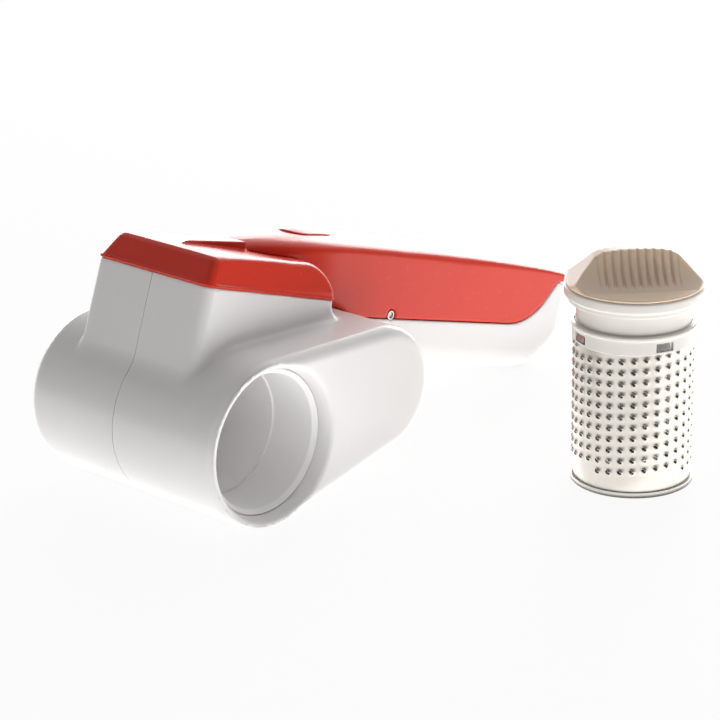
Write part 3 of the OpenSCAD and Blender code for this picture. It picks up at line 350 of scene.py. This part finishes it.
BLADE = [(0.0, 0.0), (26.1, 0.0), (26.1, 0.8), (16.0, 11.4), (13.0, 12.8), (10.0, 13.5), (4.0, 14.2), (0.0, GRIP_H)]
BLADE = BLADE + [(-x, z) for x, z in BLADE[-2:0:-1]]


def pinch_grip(x, y, z):
    """Ribbed blade across the cap; x along the blade, z over the flange."""
    f = smax(smax(poly2(x, z, BLADE), np.hypot(x, y) - 26.1, 0.8), z - GRIP_H, 1.6)
    wave = 0.5 + 0.5 * np.cos(2 * np.pi * (x / RIB_PITCH + 0.5 * (RIBS + 1)))
    inside = np.clip((RIB_PITCH * (RIBS + 0.9) / 2 - np.abs(x)) / 0.5, 0, 1) * np.clip((z - 2.0) / 1.0, 0, 1)
    flute = FLUTE_R + RIB_DEPTH * inside * np.clip(wave * 2.2 - 1.2, 0, 1)
    for side in (-1, 1):
        scoop = flute - np.hypot(y - side * (FLUTE_Y - 3 * (x / 26) ** 2), z - FLUTE_Z)
        f = smax(f, np.minimum(scoop, z - GRIP_FOOT), 1.0)
    return f


# Meshes from signed distances

CORNERS = np.array([(i, j, k) for i in (0, 1) for j in (0, 1) for k in (0, 1)])
EDGES = [(a, b) for a in range(8) for b in range(a + 1, 8) if np.abs(CORNERS[a] - CORNERS[b]).sum() == 1]


def net(field, lo, hi, step):
    """Closed surface of field = 0 on a grid, one vertex to a crossed cell, then drawn on to the surface."""
    ax = [np.arange(lo[i] - 1.5 * step, hi[i] + 2.5 * step, step, dtype=np.float32) for i in range(3)]
    F = field(ax[0][:, None, None], ax[1][None, :, None], ax[2][None, None, :])
    F = np.broadcast_to(F, tuple(len(a) for a in ax)).astype(np.float32)
    neg = F < 0
    n = [len(a) - 1 for a in ax]
    count = np.zeros(n, np.int8)
    for i, j, k in CORNERS:
        count += neg[i:i + n[0], j:j + n[1], k:k + n[2]]
    cell = np.argwhere((count > 0) & (count < 8))
    index = np.full(n, -1, np.int64)
    index[cell[:, 0], cell[:, 1], cell[:, 2]] = np.arange(len(cell))
    val = np.stack([F[cell[:, 0] + c[0], cell[:, 1] + c[1], cell[:, 2] + c[2]] for c in CORNERS], 1)
    total, hits = np.zeros((len(cell), 3)), np.zeros(len(cell))
    for a, b in EDGES:
        fa, fb = val[:, a], val[:, b]
        cross = (fa < 0) != (fb < 0)
        t = np.where(cross, fa / np.where(cross, fa - fb, 1), 0)
        total += np.where(cross[:, None], CORNERS[a] + t[:, None] * (CORNERS[b] - CORNERS[a]), 0)
        hits += cross
    co = (cell + total / hits[:, None]) * step + np.array([a[0] for a in ax])
    quads = []
    for d in range(3):
        e1, e2 = (d + 1) % 3, (d + 2) % 3
        a, b = [slice(None)] * 3, [slice(None)] * 3
        a[d], b[d] = slice(0, -1), slice(1, None)
        at = np.argwhere(neg[tuple(a)] != neg[tuple(b)])
        at = at[(at[:, e1] > 0) & (at[:, e2] > 0) & (at[:, e1] < n[e1]) & (at[:, e2] < n[e2])]
        flip = neg[at[:, 0], at[:, 1], at[:, 2]]
        ring = []
        for o1, o2 in ((-1, -1), (0, -1), (0, 0), (-1, 0)):
            c = at.copy()
            c[:, e1] += o1
            c[:, e2] += o2
            ring.append(index[c[:, 0], c[:, 1], c[:, 2]])
        q = np.stack(ring, 1)
        quads.append(np.where(flip[:, None], q, q[:, ::-1]))
    unit = np.eye(3, dtype=np.float32) * 0.1 * step
    for _ in range(2):
        p = co.astype(np.float32)
        slope = np.stack([(field(*(p + unit[i]).T) - field(*(p - unit[i]).T)) / (0.2 * step) for i in range(3)], 1)
        move = -(field(*p.T) / np.maximum((slope * slope).sum(1), 0.25))[:, None] * slope
        length = np.linalg.norm(move, axis=1, keepdims=True)
        co = co + move * np.minimum(1, 0.5 * step / np.maximum(length, 1e-9))
    return co, np.concatenate(quads)


def mesh_object(name, co, faces):
    """Smooth mesh from an array of corners and an array of quads."""
    me = bpy.data.meshes.new(name)
    co, faces = np.asarray(co, float), np.asarray(faces)
    me.vertices.add(len(co))
    me.vertices.foreach_set("co", co.ravel())
    me.loops.add(faces.size)
    me.loops.foreach_set("vertex_index", faces.ravel().astype(np.int32))
    me.polygons.add(len(faces))
    me.polygons.foreach_set("loop_start", np.arange(0, faces.size, faces.shape[1], dtype=np.int32))
    me.update(calc_edges=True)
    me.validate()
    me.polygons.foreach_set("use_smooth", [True] * len(me.polygons))
    ob = bpy.data.objects.new(name, me)
    scene.collection.objects.link(ob)
    return ob


def lay(co):
    """From the handle's frame in millimetres to the table's in metres."""
    c, s = math.cos(TILT), math.sin(TILT)
    co = np.asarray(co, float)
    return np.stack([co[:, 0] * c + co[:, 2] * s, co[:, 1], -co[:, 0] * s + co[:, 2] * c], 1) / 1000


def stand(co):
    """From the drum's axis and the table, in millimetres, to the table's frame in metres."""
    return (np.asarray(co, float) + np.array([DRUM[0], DRUM[1], FLOOR_Z])) / 1000


def turned(co, degrees):
    """Turns points about the upright axis."""
    c, s = math.cos(math.radians(degrees)), math.sin(math.radians(degrees))
    return np.stack([co[:, 0] * c - co[:, 1] * s, co[:, 0] * s + co[:, 1] * c, co[:, 2]], 1)


def finish_piece(ob, body, slot, *replaced):
    """Gives a piece its material, its body and the CAD nodes that it stands for."""
    ob.data.materials.clear()
    ob.data.materials.append(MAT[slot])
    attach(ob, body)
    if replaced:
        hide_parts(*replaced)
    return ob


def keep_side(ob, y, front):
    """Cuts a laid object at one plane across the bore's axis and keeps the side before or behind it."""
    bm = bmesh.new()
    bm.from_mesh(ob.data)
    bmesh.ops.bisect_plane(bm, geom=bm.verts[:] + bm.edges[:] + bm.faces[:], dist=1e-7, plane_co=(0, y / 1000, 0),
                           plane_no=(0, 1, 0), clear_outer=front, clear_inner=not front)
    rim = [e for e in bm.edges if e.is_boundary]
    cap = bmesh.ops.triangle_fill(bm, use_beauty=True, edges=rim, normal=(0, 1 if front else -1, 0))
    for g in cap["geom"]:
        if isinstance(g, bmesh.types.BMFace):
            g.smooth = False
    for e in rim:
        e.smooth = False
    bm.to_mesh(ob.data)
    bm.free()


# Round forms from sections

def rounded(section, n=3):
    """Closed section of (radius, height, corner rounding) with its corners rounded."""
    pts = [np.array(p[:2], float) for p in section]
    out = []
    for i, p in enumerate(pts):
        a, b = pts[i - 1] - p, pts[(i + 1) % len(pts)] - p
        la, lb = np.linalg.norm(a), np.linalg.norm(b)
        c = min(section[i][2], la * 0.45, lb * 0.45)
        pa, pb = p + a / la * c, p + b / lb * c
        for k in range(n + 1):
            t = k / n
            out.append((1 - t) ** 2 * pa + 2 * t * (1 - t) * p + t * t * pb)
    return np.array(out)


def lathe(section, n=180):
    """Turns a closed section about the upright axis."""
    a = np.arange(n) * 2 * math.pi / n
    m = len(section)
    co = np.stack([section[None, :, 0] * np.cos(a)[:, None], section[None, :, 0] * np.sin(a)[:, None],
                   np.broadcast_to(section[None, :, 1], (n, m))], 2).reshape(-1, 3)
    i, j = np.meshgrid(np.arange(n), np.arange(m), indexing="ij")
    near, far = i * m, ((i + 1) % n) * m
    return co, np.stack([near + j, far + j, far + (j + 1) % m, near + (j + 1) % m], 2).reshape(-1, 4)


def pierced_ring(outer, inner, windows, step=2.0):
    """Ring between two (radius, height) profiles with windows (angle, angle, height, height) cut through it."""
    windows = [(round(w[0], 4), round(w[1], 4), w[2], w[3]) for w in windows]
    cuts = [angle for w in windows for angle in w[:2]]
    a = sorted(cuts + [v for v in np.arange(-180, 180, step) if min(abs(v - c) for c in cuts) > 0.3 * step])
    co, quads = [], []

    def point(profile, i, j):
        t = math.radians(a[i % len(a)])
        co.append((profile[j][0] * math.cos(t), profile[j][0] * math.sin(t), profile[j][1]))
        return len(co) - 1

    def cut(i, h):
        mid = a[i] + 0.5 * ((a[(i + 1) % len(a)] - a[i]) % 360)
        return any(w[0] < mid < w[1] and w[2] < h < w[3] for w in windows)

    grid = {}
    for key, profile in (("o", outer), ("i", inner)):
        for i in range(len(a)):
            for j in range(len(profile)):
                grid[key, i, j] = point(profile, i, j)
    for key, profile, flip in (("o", outer, False), ("i", inner, True)):
        for i in range(len(a)):
            k = (i + 1) % len(a)
            for j in range(len(profile) - 1):
                if cut(i, 0.5 * (profile[j][1] + profile[j + 1][1])):
                    continue
                q = [grid[key, i, j], grid[key, k, j], grid[key, k, j + 1], grid[key, i, j + 1]]
                quads.append(q[::-1] if flip else q)
    for i in range(len(a)):
        k = (i + 1) % len(a)
        quads.append([grid["o", k, 0], grid["o", i, 0], grid["i", i, 0], grid["i", k, 0]])
        p, q = len(outer) - 1, len(inner) - 1
        quads.append([grid["o", i, p], grid["o", k, p], grid["i", k, q], grid["i", i, q]])
    for w in windows:
        o = [[p[1] for p in outer].index(h) for h in w[2:]]
        n = [[p[1] for p in inner].index(h) for h in w[2:]]
        first, last = a.index(w[0]), a.index(w[1])
        quads.append([grid["o", first, o[1]], grid["i", first, n[1]], grid["i", first, n[0]], grid["o", first, o[0]]])
        quads.append([grid["o", last, o[0]], grid["i", last, n[0]], grid["i", last, n[1]], grid["o", last, o[1]]])
        for i in range(first, last):
            quads.append([grid["o", i, o[0]], grid["o", i + 1, o[0]], grid["i", i + 1, n[0]], grid["i", i, n[0]]])
            quads.append([grid["o", i, o[1]], grid["o", i + 1, o[1]], grid["i", i + 1, n[1]], grid["i", i, n[1]]][::-1])
    return np.array(co), np.array(quads)


def crisp(ob, degrees=35):
    ob.data.set_sharp_from_angle(angle=math.radians(degrees))
    return ob


# The punched sheet: rows of burred holes that climb a little from column to column

def cell_rim(width, height, across, up):
    """Points round one cell, anticlockwise from its lower left corner."""
    u = np.linspace(-width / 2, width / 2, across + 1)
    v = np.linspace(-height / 2, height / 2, up + 1)
    low = [(x, v[0]) for x in u[:-1]]
    right = [(u[-1], y) for y in v[:-1]]
    top = [(x, v[-1]) for x in u[:0:-1]]
    left = [(u[0], y) for y in v[:0:-1]]
    return np.array(low + right + top + left)


def burr_rings(rim):
    """Rings of one punched hole from the cell's rim over the burr and through the sheet: u, v, rise."""
    lean = math.radians(-45)
    phi = np.arctan2(rim[:, 1], rim[:, 0])
    hole = 0.5 + 0.52 * np.cos(phi - lean) ** 2
    lip = 0.12 + 0.62 * np.sin(phi - lean) ** 2
    ray = np.stack([np.cos(phi), np.sin(phi)], 1)
    rings = [(rim, np.zeros(len(rim)))]
    for grow, rise in ((0.62, 0 * lip), (0.34, 0.5 * lip), (0.12, 0.95 * lip), (0.0, lip), (-0.07, lip - 0.14)):
        rings.append((ray * (hole + grow)[:, None], rise))
    rings.append((ray * (hole + 0.1)[:, None], 0 * lip - SHEET))
    rings.append((rim, 0 * lip - SHEET))
    return rings


def punched_sheet():
    width = math.radians(360 / COLUMNS) * DRUM_R
    across, up = 6, 10
    rim = cell_rim(width, ROW_PITCH, across, up)
    rings = burr_rings(rim)
    m = len(rim)
    co, quads = [], []

    def place(u, v, rise, angle, z):
        t = math.radians(angle) + u / DRUM_R
        r = DRUM_R + rise
        return np.stack([r * np.cos(t), r * np.sin(t), z + v], 1)

    def plain(angle, z0, z1):
        rows = max(1, round((z1 - z0) / ROW_RISE))
        u = np.linspace(-width / 2, width / 2, across + 1)
        for rise, flip in ((0.0, False), (-SHEET, True)):
            base = sum(len(c) for c in co)
            for v in np.linspace(z0, z1, rows + 1):
                co.append(place(u, 0 * u, rise, angle, v))
            for j in range(rows):
                for i in range(across):
                    p = base + j * (across + 1) + i
                    q = [p, p + 1, p + across + 2, p + across + 1]
                    quads.append(q[::-1] if flip else q)

    for k in range(-(COLUMNS // 2), COLUMNS - COLUMNS // 2):
        angle = FIRST_COLUMN + 360 / COLUMNS * k
        lowest = FIRST_ROW - 0.9 if k >= 0 else FIRST_ROW - 0.3
        z = FIRST_ROW + ROW_RISE * k
        z += ROW_PITCH * math.ceil((lowest - z) / ROW_PITCH)
        plain(angle, SHEET_Z0, z - ROW_PITCH / 2)
        while z < LAST_ROW:
            base = sum(len(c) for c in co)
            for uv, rise in rings:
                co.append(place(uv[:, 0], uv[:, 1], rise, angle, z))
            for j in range(len(rings) - 1):
                for i in range(m):
                    n = (i + 1) % m
                    quads.append([base + j * m + i, base + j * m + n, base + (j + 1) * m + n, base + (j + 1) * m + i])
            z += ROW_PITCH
        plain(angle, z - ROW_PITCH / 2, SHEET_Z1)
    co = np.concatenate(co)
    _, keep, weld = np.unique(np.round(co, 3), axis=0, return_index=True, return_inverse=True)
    return co[keep], weld.ravel()[np.array(quads)]


# Materials

def material(name, color, rough, metal=0.0, coat=0.0, bump=0.0, scale=400.0, vary=0.03, spec=0.5):
    """Moulded or turned surface with slight cloudiness, fine grain and uneven gloss."""
    m = bpy.data.materials.new(name)
    m.use_nodes = True
    nt = m.node_tree
    b = nt.nodes["Principled BSDF"]
    b.inputs["Metallic"].default_value = metal
    b.inputs["Coat Weight"].default_value = coat
    b.inputs["Coat Roughness"].default_value = 0.08
    b.inputs["Specular IOR Level"].default_value = spec
    place = nt.nodes.new("ShaderNodeTexCoord")
    cloud = nt.nodes.new("ShaderNodeTexNoise")
    cloud.inputs["Scale"].default_value = 35.0
    cloud.inputs["Detail"].default_value = 3.0
    nt.links.new(place.outputs["Object"], cloud.inputs["Vector"])
    ramp = nt.nodes.new("ShaderNodeValToRGB")
    for end, position, gain in ((0, 0.35, 1 - vary), (1, 0.65, 1 + vary)):
        ramp.color_ramp.elements[end].position = position
        ramp.color_ramp.elements[end].color = [min(1.0, c * gain) for c in color] + [1]
    nt.links.new(cloud.outputs["Fac"], ramp.inputs["Fac"])
    nt.links.new(ramp.outputs["Color"], b.inputs["Base Color"])
    grain = nt.nodes.new("ShaderNodeTexNoise")
    grain.inputs["Scale"].default_value = scale
    grain.inputs["Detail"].default_value = 4.0
    nt.links.new(place.outputs["Object"], grain.inputs["Vector"])
    gloss = nt.nodes.new("ShaderNodeMapRange")
    gloss.inputs["To Min"].default_value = rough * 0.85
    gloss.inputs["To Max"].default_value = rough * 1.15
    nt.links.new(grain.outputs["Fac"], gloss.inputs["Value"])
    nt.links.new(gloss.outputs["Result"], b.inputs["Roughness"])
    if bump:
        relief = nt.nodes.new("ShaderNodeBump")
        relief.inputs["Strength"].default_value = bump
        relief.inputs["Distance"].default_value = 0.0002
        nt.links.new(grain.outputs["Fac"], relief.inputs["Height"])
        nt.links.new(relief.outputs["Normal"], b.inputs["Normal"])
    return m


MAT = {
    "white_shell": material("white_shell", (0.80, 0.785, 0.775), 0.30, bump=0.10, scale=900, vary=0.01),
    # white_inner is lighter than the shell's white: the extra lightness is painted light, standing in for the light
    # that bounces inside the bore
    "white_inner": material("white_inner", (0.88, 0.87, 0.86), 0.42, bump=0.15, scale=700, vary=0.01),
    "red_gloss": material("red_gloss", (0.69, 0.039, 0.018), 0.26, bump=0.06, scale=700, vary=0.02, spec=0.22),
    "red_button": material("red_button", (0.68, 0.039, 0.018), 0.32, bump=0.10, scale=700, vary=0.02, spec=0.25),
    "ivory": material("ivory", (0.68, 0.652, 0.603), 0.30, bump=0.08, scale=800, vary=0.012),
    "taupe": material("taupe", (0.80, 0.62, 0.465), 0.42, bump=0.20, scale=900, vary=0.03),
    "drum_steel": material("drum_steel", (0.50, 0.472, 0.43), 0.40, metal=1.0, bump=0.05, scale=600, vary=0.03),
    "pin_steel": material("pin_steel", (0.46, 0.44, 0.41), 0.28, metal=1.0, bump=0.05, scale=900, vary=0.04),
    "steel": material("steel", (0.58, 0.58, 0.59), 0.32, metal=1.0, bump=0.08, scale=900, vary=0.05),
    "brass": material("brass", (0.72, 0.52, 0.22), 0.30, metal=1.0, bump=0.05, scale=900, vary=0.04),
    "gear_plastic": material("gear_plastic", (0.78, 0.75, 0.66), 0.45, bump=0.15, scale=600, vary=0.03),
    "battery_wrap": material("battery_wrap", (0.06, 0.26, 0.15), 0.35, bump=0.10, scale=500, vary=0.05),
    "board": material("board", (0.03, 0.18, 0.07), 0.45, bump=0.25, scale=1200, vary=0.15),
    "black_plastic": material("black_plastic", (0.025, 0.025, 0.026), 0.45, bump=0.15, scale=700, vary=0.1),
}
slot_of = {s["node"]: s["material_slot"] for s in frame["record"]["subparts"]}
for name, ob in nodes.items():
    ob.data.materials.clear()
    ob.data.materials.append(MAT[slot_of[name]])

# The grater

STEP = 0.8


def laid_piece(name, field, lo, hi, step, body, slot, *replaced):
    co, quads = net(field, lo, hi, step)
    return finish_piece(mesh_object(name, lay(co), quads), body, slot, *replaced)


def make_shells():
    co, quads = net(housing, (-33, -8, -33), (209, 96, 65), STEP)
    co = lay(co)
    for name, front, y, replaced in (("shell_front", True, SEAM_Y - SEAM_GAP / 2, ("front_shell", "handle_front")),
                                     ("shell_rear", False, SEAM_Y + SEAM_GAP / 2, ("rear_shell", "handle_rear"))):
        ob = mesh_object(name, co, quads)
        keep_side(ob, y, front)
        finish_piece(ob, "base", "white_shell", *replaced)


def make_sleeve():
    """Bore lining with its bright end ring, the step inside and the opening to the chute."""
    outer = [(SLEEVE_R - 0.3, -LIP_Y), (SLEEVE_R, -LIP_Y + 0.3), (SLEEVE_R, CHUTE_Y[0]), (SLEEVE_R, CHUTE_Y[1]),
             (SLEEVE_R, SLEEVE_END)]
    inner = [(SLEEVE_R - 0.5, -LIP_Y - 0.02), (BORE_R + 0.45, -0.25), (BORE_R + 0.12, 0.1), (BORE_R, 0.6),
             (BORE_R, STEP_Y - 0.35), (BORE_R - 0.1, STEP_Y - 0.08), (INNER_BORE_R + 0.3, STEP_Y),
             (INNER_BORE_R + 0.06, STEP_Y + 0.2), (INNER_BORE_R, STEP_Y + 0.5), (INNER_BORE_R, CHUTE_Y[0]),
             (INNER_BORE_R, CHUTE_Y[1]), (INNER_BORE_R, SLEEVE_END)]
    a = [math.degrees(math.asin(x / SLEEVE_R)) for x in CHUTE_X]
    co, quads = pierced_ring(outer, inner, [(a[0], a[1], *CHUTE_Y)])
    co = np.stack([co[:, 1], co[:, 2], co[:, 0]], 1)
    # The lining's lighter white is painted light for the inside of the bore
    finish_piece(crisp(mesh_object("bore_sleeve", lay(co), quads)), "base", "white_inner", "drum_chamber")


def make_pin():
    """Steel pin with a dimpled end on each side."""
    y0, y1 = SEAM_Y - GRIP_HALF + 0.3, SEAM_Y + GRIP_HALF - 0.3
    half = (y1 - y0) / 2
    section = rounded([(0.02, -half + 0.9, 0), (1.15, -half + 0.7, 0.1), (1.3, -half, 0.15), (PIN_R, -half, 0.3),
                       (PIN_R, half, 0.3), (1.3, half, 0.15), (1.15, half - 0.7, 0.1), (0.02, half - 0.9, 0)])
    co, quads = lathe(section, 48)
    co = np.stack([PIN_X + co[:, 1], (y0 + y1) / 2 + co[:, 2], PIN_Z + co[:, 0]], 1)
    finish_piece(crisp(mesh_object("catch_pin", lay(co), quads)), "base", "pin_steel", "stop_pin")


make_shells()
make_sleeve()
make_pin()
laid_piece("plate_cover", switch_plate, (48, 24, 38), (70, 70, 47), 0.5, "base", "white_inner", "switch_plate")
laid_piece("lid_cap", lid, (-26, 16, 50), (47, 78, 70), STEP * 0.7, "arm", "red_gloss", "presser_lid")
laid_piece("arm_cover", arm, (13, 28, 41), (209, 66, 75), STEP * 0.75, "arm", "red_gloss", "arm_shell")
laid_piece("food_presser", presser_block, (-17, 21, 27), (38, 72, 59), STEP, "arm", "white_inner", "presser")
laid_piece("oval_button", button, (40, 37, 49), (68, 57, 75), 0.5, "button", "red_button", "thumb_button")

# The standing drum and its cap


def standing_piece(name, shape, body, slot, *replaced):
    return finish_piece(crisp(mesh_object(name, stand(shape[0]), shape[1])), body, slot, *replaced)


def make_drum():
    sheet = punched_sheet()
    finish_piece(mesh_object("punched_drum", stand(sheet[0]), sheet[1]), "drum", "drum_steel", "grating_drum")
    outer = [(COLLAR_R - 0.35, COLLAR_Z), (COLLAR_R, COLLAR_Z + 0.35), (COLLAR_R, WINDOW_Z[0]),
             (COLLAR_R, WINDOW_Z[1]), (COLLAR_R, 62.0), (COLLAR_R + 0.1, 62.3), (LIP_R - 0.3, 62.5), (LIP_R, 62.9),
             (LIP_R, 63.6), (LIP_R - 0.35, CAP_Z)]
    inner = [(DRUM_R + 0.05, z) for z in (COLLAR_Z, *WINDOW_Z, CAP_Z)]
    half = math.degrees(WINDOW_W / 2 / COLLAR_R)
    windows = [(WINDOW_TURN + 90 * k - half, WINDOW_TURN + 90 * k + half, *WINDOW_Z) for k in range(4)]
    windows = [((w[0] + 180) % 360 - 180, (w[0] + 180) % 360 - 180 + 2 * half, w[2], w[3]) for w in windows]
    standing_piece("window_collar", pierced_ring(outer, inner, windows), "drum", "ivory", "drum_collar")


def make_tabs():
    """Steel tabs of the sheet that show in the collar's windows, in the darker pin steel as painted shade and painted
    dark reflection.
    """
    half, n = math.degrees(WINDOW_W / 2 / COLLAR_R) * 0.84, 6
    low, high = WINDOW_Z[0] + 0.3, WINDOW_Z[1] - 0.3
    section = np.array([(DRUM_R + 0.02, low), (DRUM_R + 0.75, low), (DRUM_R + 0.1, high), (DRUM_R + 0.02, high)])
    co, quads = [], []
    for k in range(4):
        base = len(co)
        for a in np.radians(WINDOW_TURN + 90 * k + np.linspace(-half, 0.8 * half, n + 1)):
            co += [(r * math.cos(a), r * math.sin(a), z) for r, z in section]
        for i in range(n):
            p, q = base + 4 * i, base + 4 * i + 4
            quads += [[p + j, q + j, q + (j + 1) % 4, p + (j + 1) % 4] for j in range(4)]
        end = base + 4 * n
        quads += [[base, base + 1, base + 2, base + 3], [end + 3, end + 2, end + 1, end]]
    # The darker pin steel, rather than the drum's sheet steel, is painted shade and painted dark reflection for the
    # tabs in the windows
    standing_piece("collar_tabs", (np.array(co), np.array(quads)), "drum", "pin_steel")


def make_cap():
    plug = rounded([(19.9, 58.0, 0.2), (21.85, 58.0, 0.4), (21.85, 61.05, 0), (22.35, 61.1, 0.1),
                    (22.35, CAP_Z, 0.1), (NECK_R, CAP_Z + 0.05, 0.2), (NECK_R, STEP_Z, 0.5), (STEP_R, STEP_Z, 0.7),
                    (STEP_R, FLANGE_Z, 0.5), (FLANGE_R, FLANGE_Z + 0.5, 1.2), (FLANGE_R, GRIP_Z, 1.1),
                    (2.0, GRIP_Z - 0.02, 0), (2.0, STEP_Z + 0.2, 0), (19.9, STEP_Z - 0.6, 0.6)], 5)
    standing_piece("cap_neck", lathe(plug, 220), "cap", "ivory", "cap_plug")
    co, quads = net(pinch_grip, (-27, -27, 0), (27, 27, 16), 0.42)
    co = turned(co, PINCH_TURN) + np.array([0, 0, GRIP_Z])
    finish_piece(mesh_object("pinch_grip", stand(co), quads), "cap", "taupe", "cap_grip")


make_drum()
make_tabs()
make_cap()

# Camera, fitted to the photograph: angles in degrees, place in metres
CAMERA_TURN, CAMERA_PITCH, CAMERA_ROLL = 46.697, 19.791, -1.049
CAMERA_PLACE, CAMERA_LENS = (-0.6030, -0.6178, 0.3414), 126.4


def add_camera():
    az, pitch, roll = (math.radians(a) for a in (CAMERA_TURN, CAMERA_PITCH, CAMERA_ROLL))
    fwd = Vector((math.sin(az) * math.cos(pitch), math.cos(az) * math.cos(pitch), -math.sin(pitch)))
    right = Vector((math.cos(az), -math.sin(az), 0))
    up = right.cross(fwd)
    right2 = right * math.cos(roll) + up * math.sin(roll)
    up2 = up * math.cos(roll) - right * math.sin(roll)
    data = bpy.data.cameras.new("photo_camera")
    data.sensor_fit = "HORIZONTAL"
    data.sensor_width = 36.0
    data.lens = CAMERA_LENS
    data.clip_start, data.clip_end = 0.05, 20
    cam = bpy.data.objects.new("photo_camera", data)
    scene.collection.objects.link(cam)
    m = Matrix((right2, up2, -fwd)).transposed().to_4x4()
    m.translation = Vector(CAMERA_PLACE)
    cam.matrix_world = m
    scene.camera = cam


# Floor, light all round and lamps, in metres and watts
FLOOR_SPAN, FLOOR_WHITE = 4.0, 0.93
BRIGHT_SIDE, DIM_LIGHT, BRIGHT_LIGHT = (0.70, 0.66, 0.15), 0.12, 0.8


def shown_white(nt, shader, rays, share, out):
    """Mixes plain white light over a shader for the named kinds of ray."""
    glow = nt.nodes.new("ShaderNodeEmission")
    glow.inputs["Color"].default_value = (1, 1, 1, 1)
    glow.inputs["Strength"].default_value = 1.0
    path = nt.nodes.new("ShaderNodeLightPath")
    either = nt.nodes.new("ShaderNodeMath")
    either.operation = "MAXIMUM"
    nt.links.new(path.outputs[rays[0]], either.inputs[0])
    nt.links.new(path.outputs[rays[1]], either.inputs[1])
    part = nt.nodes.new("ShaderNodeMath")
    part.operation = "MULTIPLY"
    nt.links.new(either.outputs[0], part.inputs[0])
    part.inputs[1].default_value = share
    mix = nt.nodes.new("ShaderNodeMixShader")
    nt.links.new(part.outputs[0], mix.inputs["Fac"])
    nt.links.new(shader, mix.inputs[1])
    nt.links.new(glow.outputs[0], mix.inputs[2])
    nt.links.new(mix.outputs[0], out)


def add_stage():
    me = bpy.data.meshes.new("floor")
    s, z = FLOOR_SPAN, FLOOR_Z / 1000 - 0.0002
    me.from_pydata([(-s, -s, z), (s, -s, z), (s, s, z), (-s, s, z)], [], [(0, 1, 2, 3)])
    ob = bpy.data.objects.new("floor", me)
    scene.collection.objects.link(ob)
    m = bpy.data.materials.new("floor_white")
    m.use_nodes = True
    b = m.node_tree.nodes["Principled BSDF"]
    b.inputs["Base Color"].default_value = (0.85, 0.85, 0.85, 1)
    b.inputs["Roughness"].default_value = 0.6
    shown_white(m.node_tree, b.outputs[0], ("Is Camera Ray", "Is Glossy Ray"), FLOOR_WHITE,
                m.node_tree.nodes["Material Output"].inputs["Surface"])
    me.materials.append(m)
    w = bpy.data.worlds.new("studio")
    scene.world = w
    w.use_nodes = True
    bg = w.node_tree.nodes["Background"]
    bg.inputs["Color"].default_value = (1, 1, 1, 1)
    place = w.node_tree.nodes.new("ShaderNodeTexCoord")
    facing = w.node_tree.nodes.new("ShaderNodeVectorMath")
    facing.operation = "DOT_PRODUCT"
    facing.inputs[1].default_value = BRIGHT_SIDE
    w.node_tree.links.new(place.outputs["Generated"], facing.inputs[0])
    level = w.node_tree.nodes.new("ShaderNodeMapRange")
    level.inputs["From Min"].default_value = -0.3
    level.inputs["From Max"].default_value = 1.0
    level.inputs["To Min"].default_value = DIM_LIGHT
    level.inputs["To Max"].default_value = BRIGHT_LIGHT
    w.node_tree.links.new(facing.outputs["Value"], level.inputs["Value"])
    w.node_tree.links.new(level.outputs["Result"], bg.inputs["Strength"])
    shown_white(w.node_tree, bg.outputs[0], ("Is Camera Ray", "Is Transmission Ray"), 1.0,
                w.node_tree.nodes["World Output"].inputs["Surface"])


def add_area(name, place, target, size, power, mirrored=True, spread=True):
    """Soft lamp that only lights: mirrored says if gloss shows it, spread if matt surfaces take its light."""
    data = bpy.data.lights.new(name, "AREA")
    data.shape = "RECTANGLE"
    data.size, data.size_y = size
    data.energy = power
    ob = bpy.data.objects.new(name, data)
    scene.collection.objects.link(ob)
    ob.location = place
    ob.rotation_euler = (Vector(target) - Vector(place)).to_track_quat("-Z", "Y").to_euler()
    ob.visible_camera = False
    ob.visible_glossy = mirrored
    ob.visible_diffuse = spread


def add_glow(name, x, y, lift, size, power, **kind):
    """Lamp a little over the floor that shines up, as a lit table does."""
    add_area(name, (x, y, FLOOR_Z / 1000 + lift), (x, y, 1.0), size, power, **kind)


add_camera()
add_stage()
add_area("back_box", (1.0, 0.9, 0.22), (0.08, 0.03, 0.02), (2.4, 0.5), 14.0, spread=False)
add_area("top_box", (0.75, 0.15, 0.9), (0.08, 0.0, 0.0), (1.0, 1.0), 3.5)
add_area("right_box", (1.15, 0.44, 0.45), (0.1, 0.03, 0.05), (0.6, 0.35), 4.5)
add_area("sky_box", (0.15, -0.3, 1.0), (0.1, -0.02, 0.0), (0.6, 0.6), 0.45)
add_glow("mouth_glow", -0.06, -0.14, 0.0017, (0.25, 0.2), 0.2, mirrored=False)
add_glow("right_glow", 0.55, -0.45, 0.0011, (0.9, 0.9), 2.0)
add_glow("front_glow", 0.0, -0.6, 0.0014, (1.0, 0.8), 2.2, mirrored=False)
add_glow("table_glow", 0.0, -0.1, 0.0005, (1.8, 1.8), 8.0)
add_glow("back_glow", 0.95, 0.85, 0.0008, (1.5, 1.5), 30.0, spread=False)

bpy.context.view_layer.update()
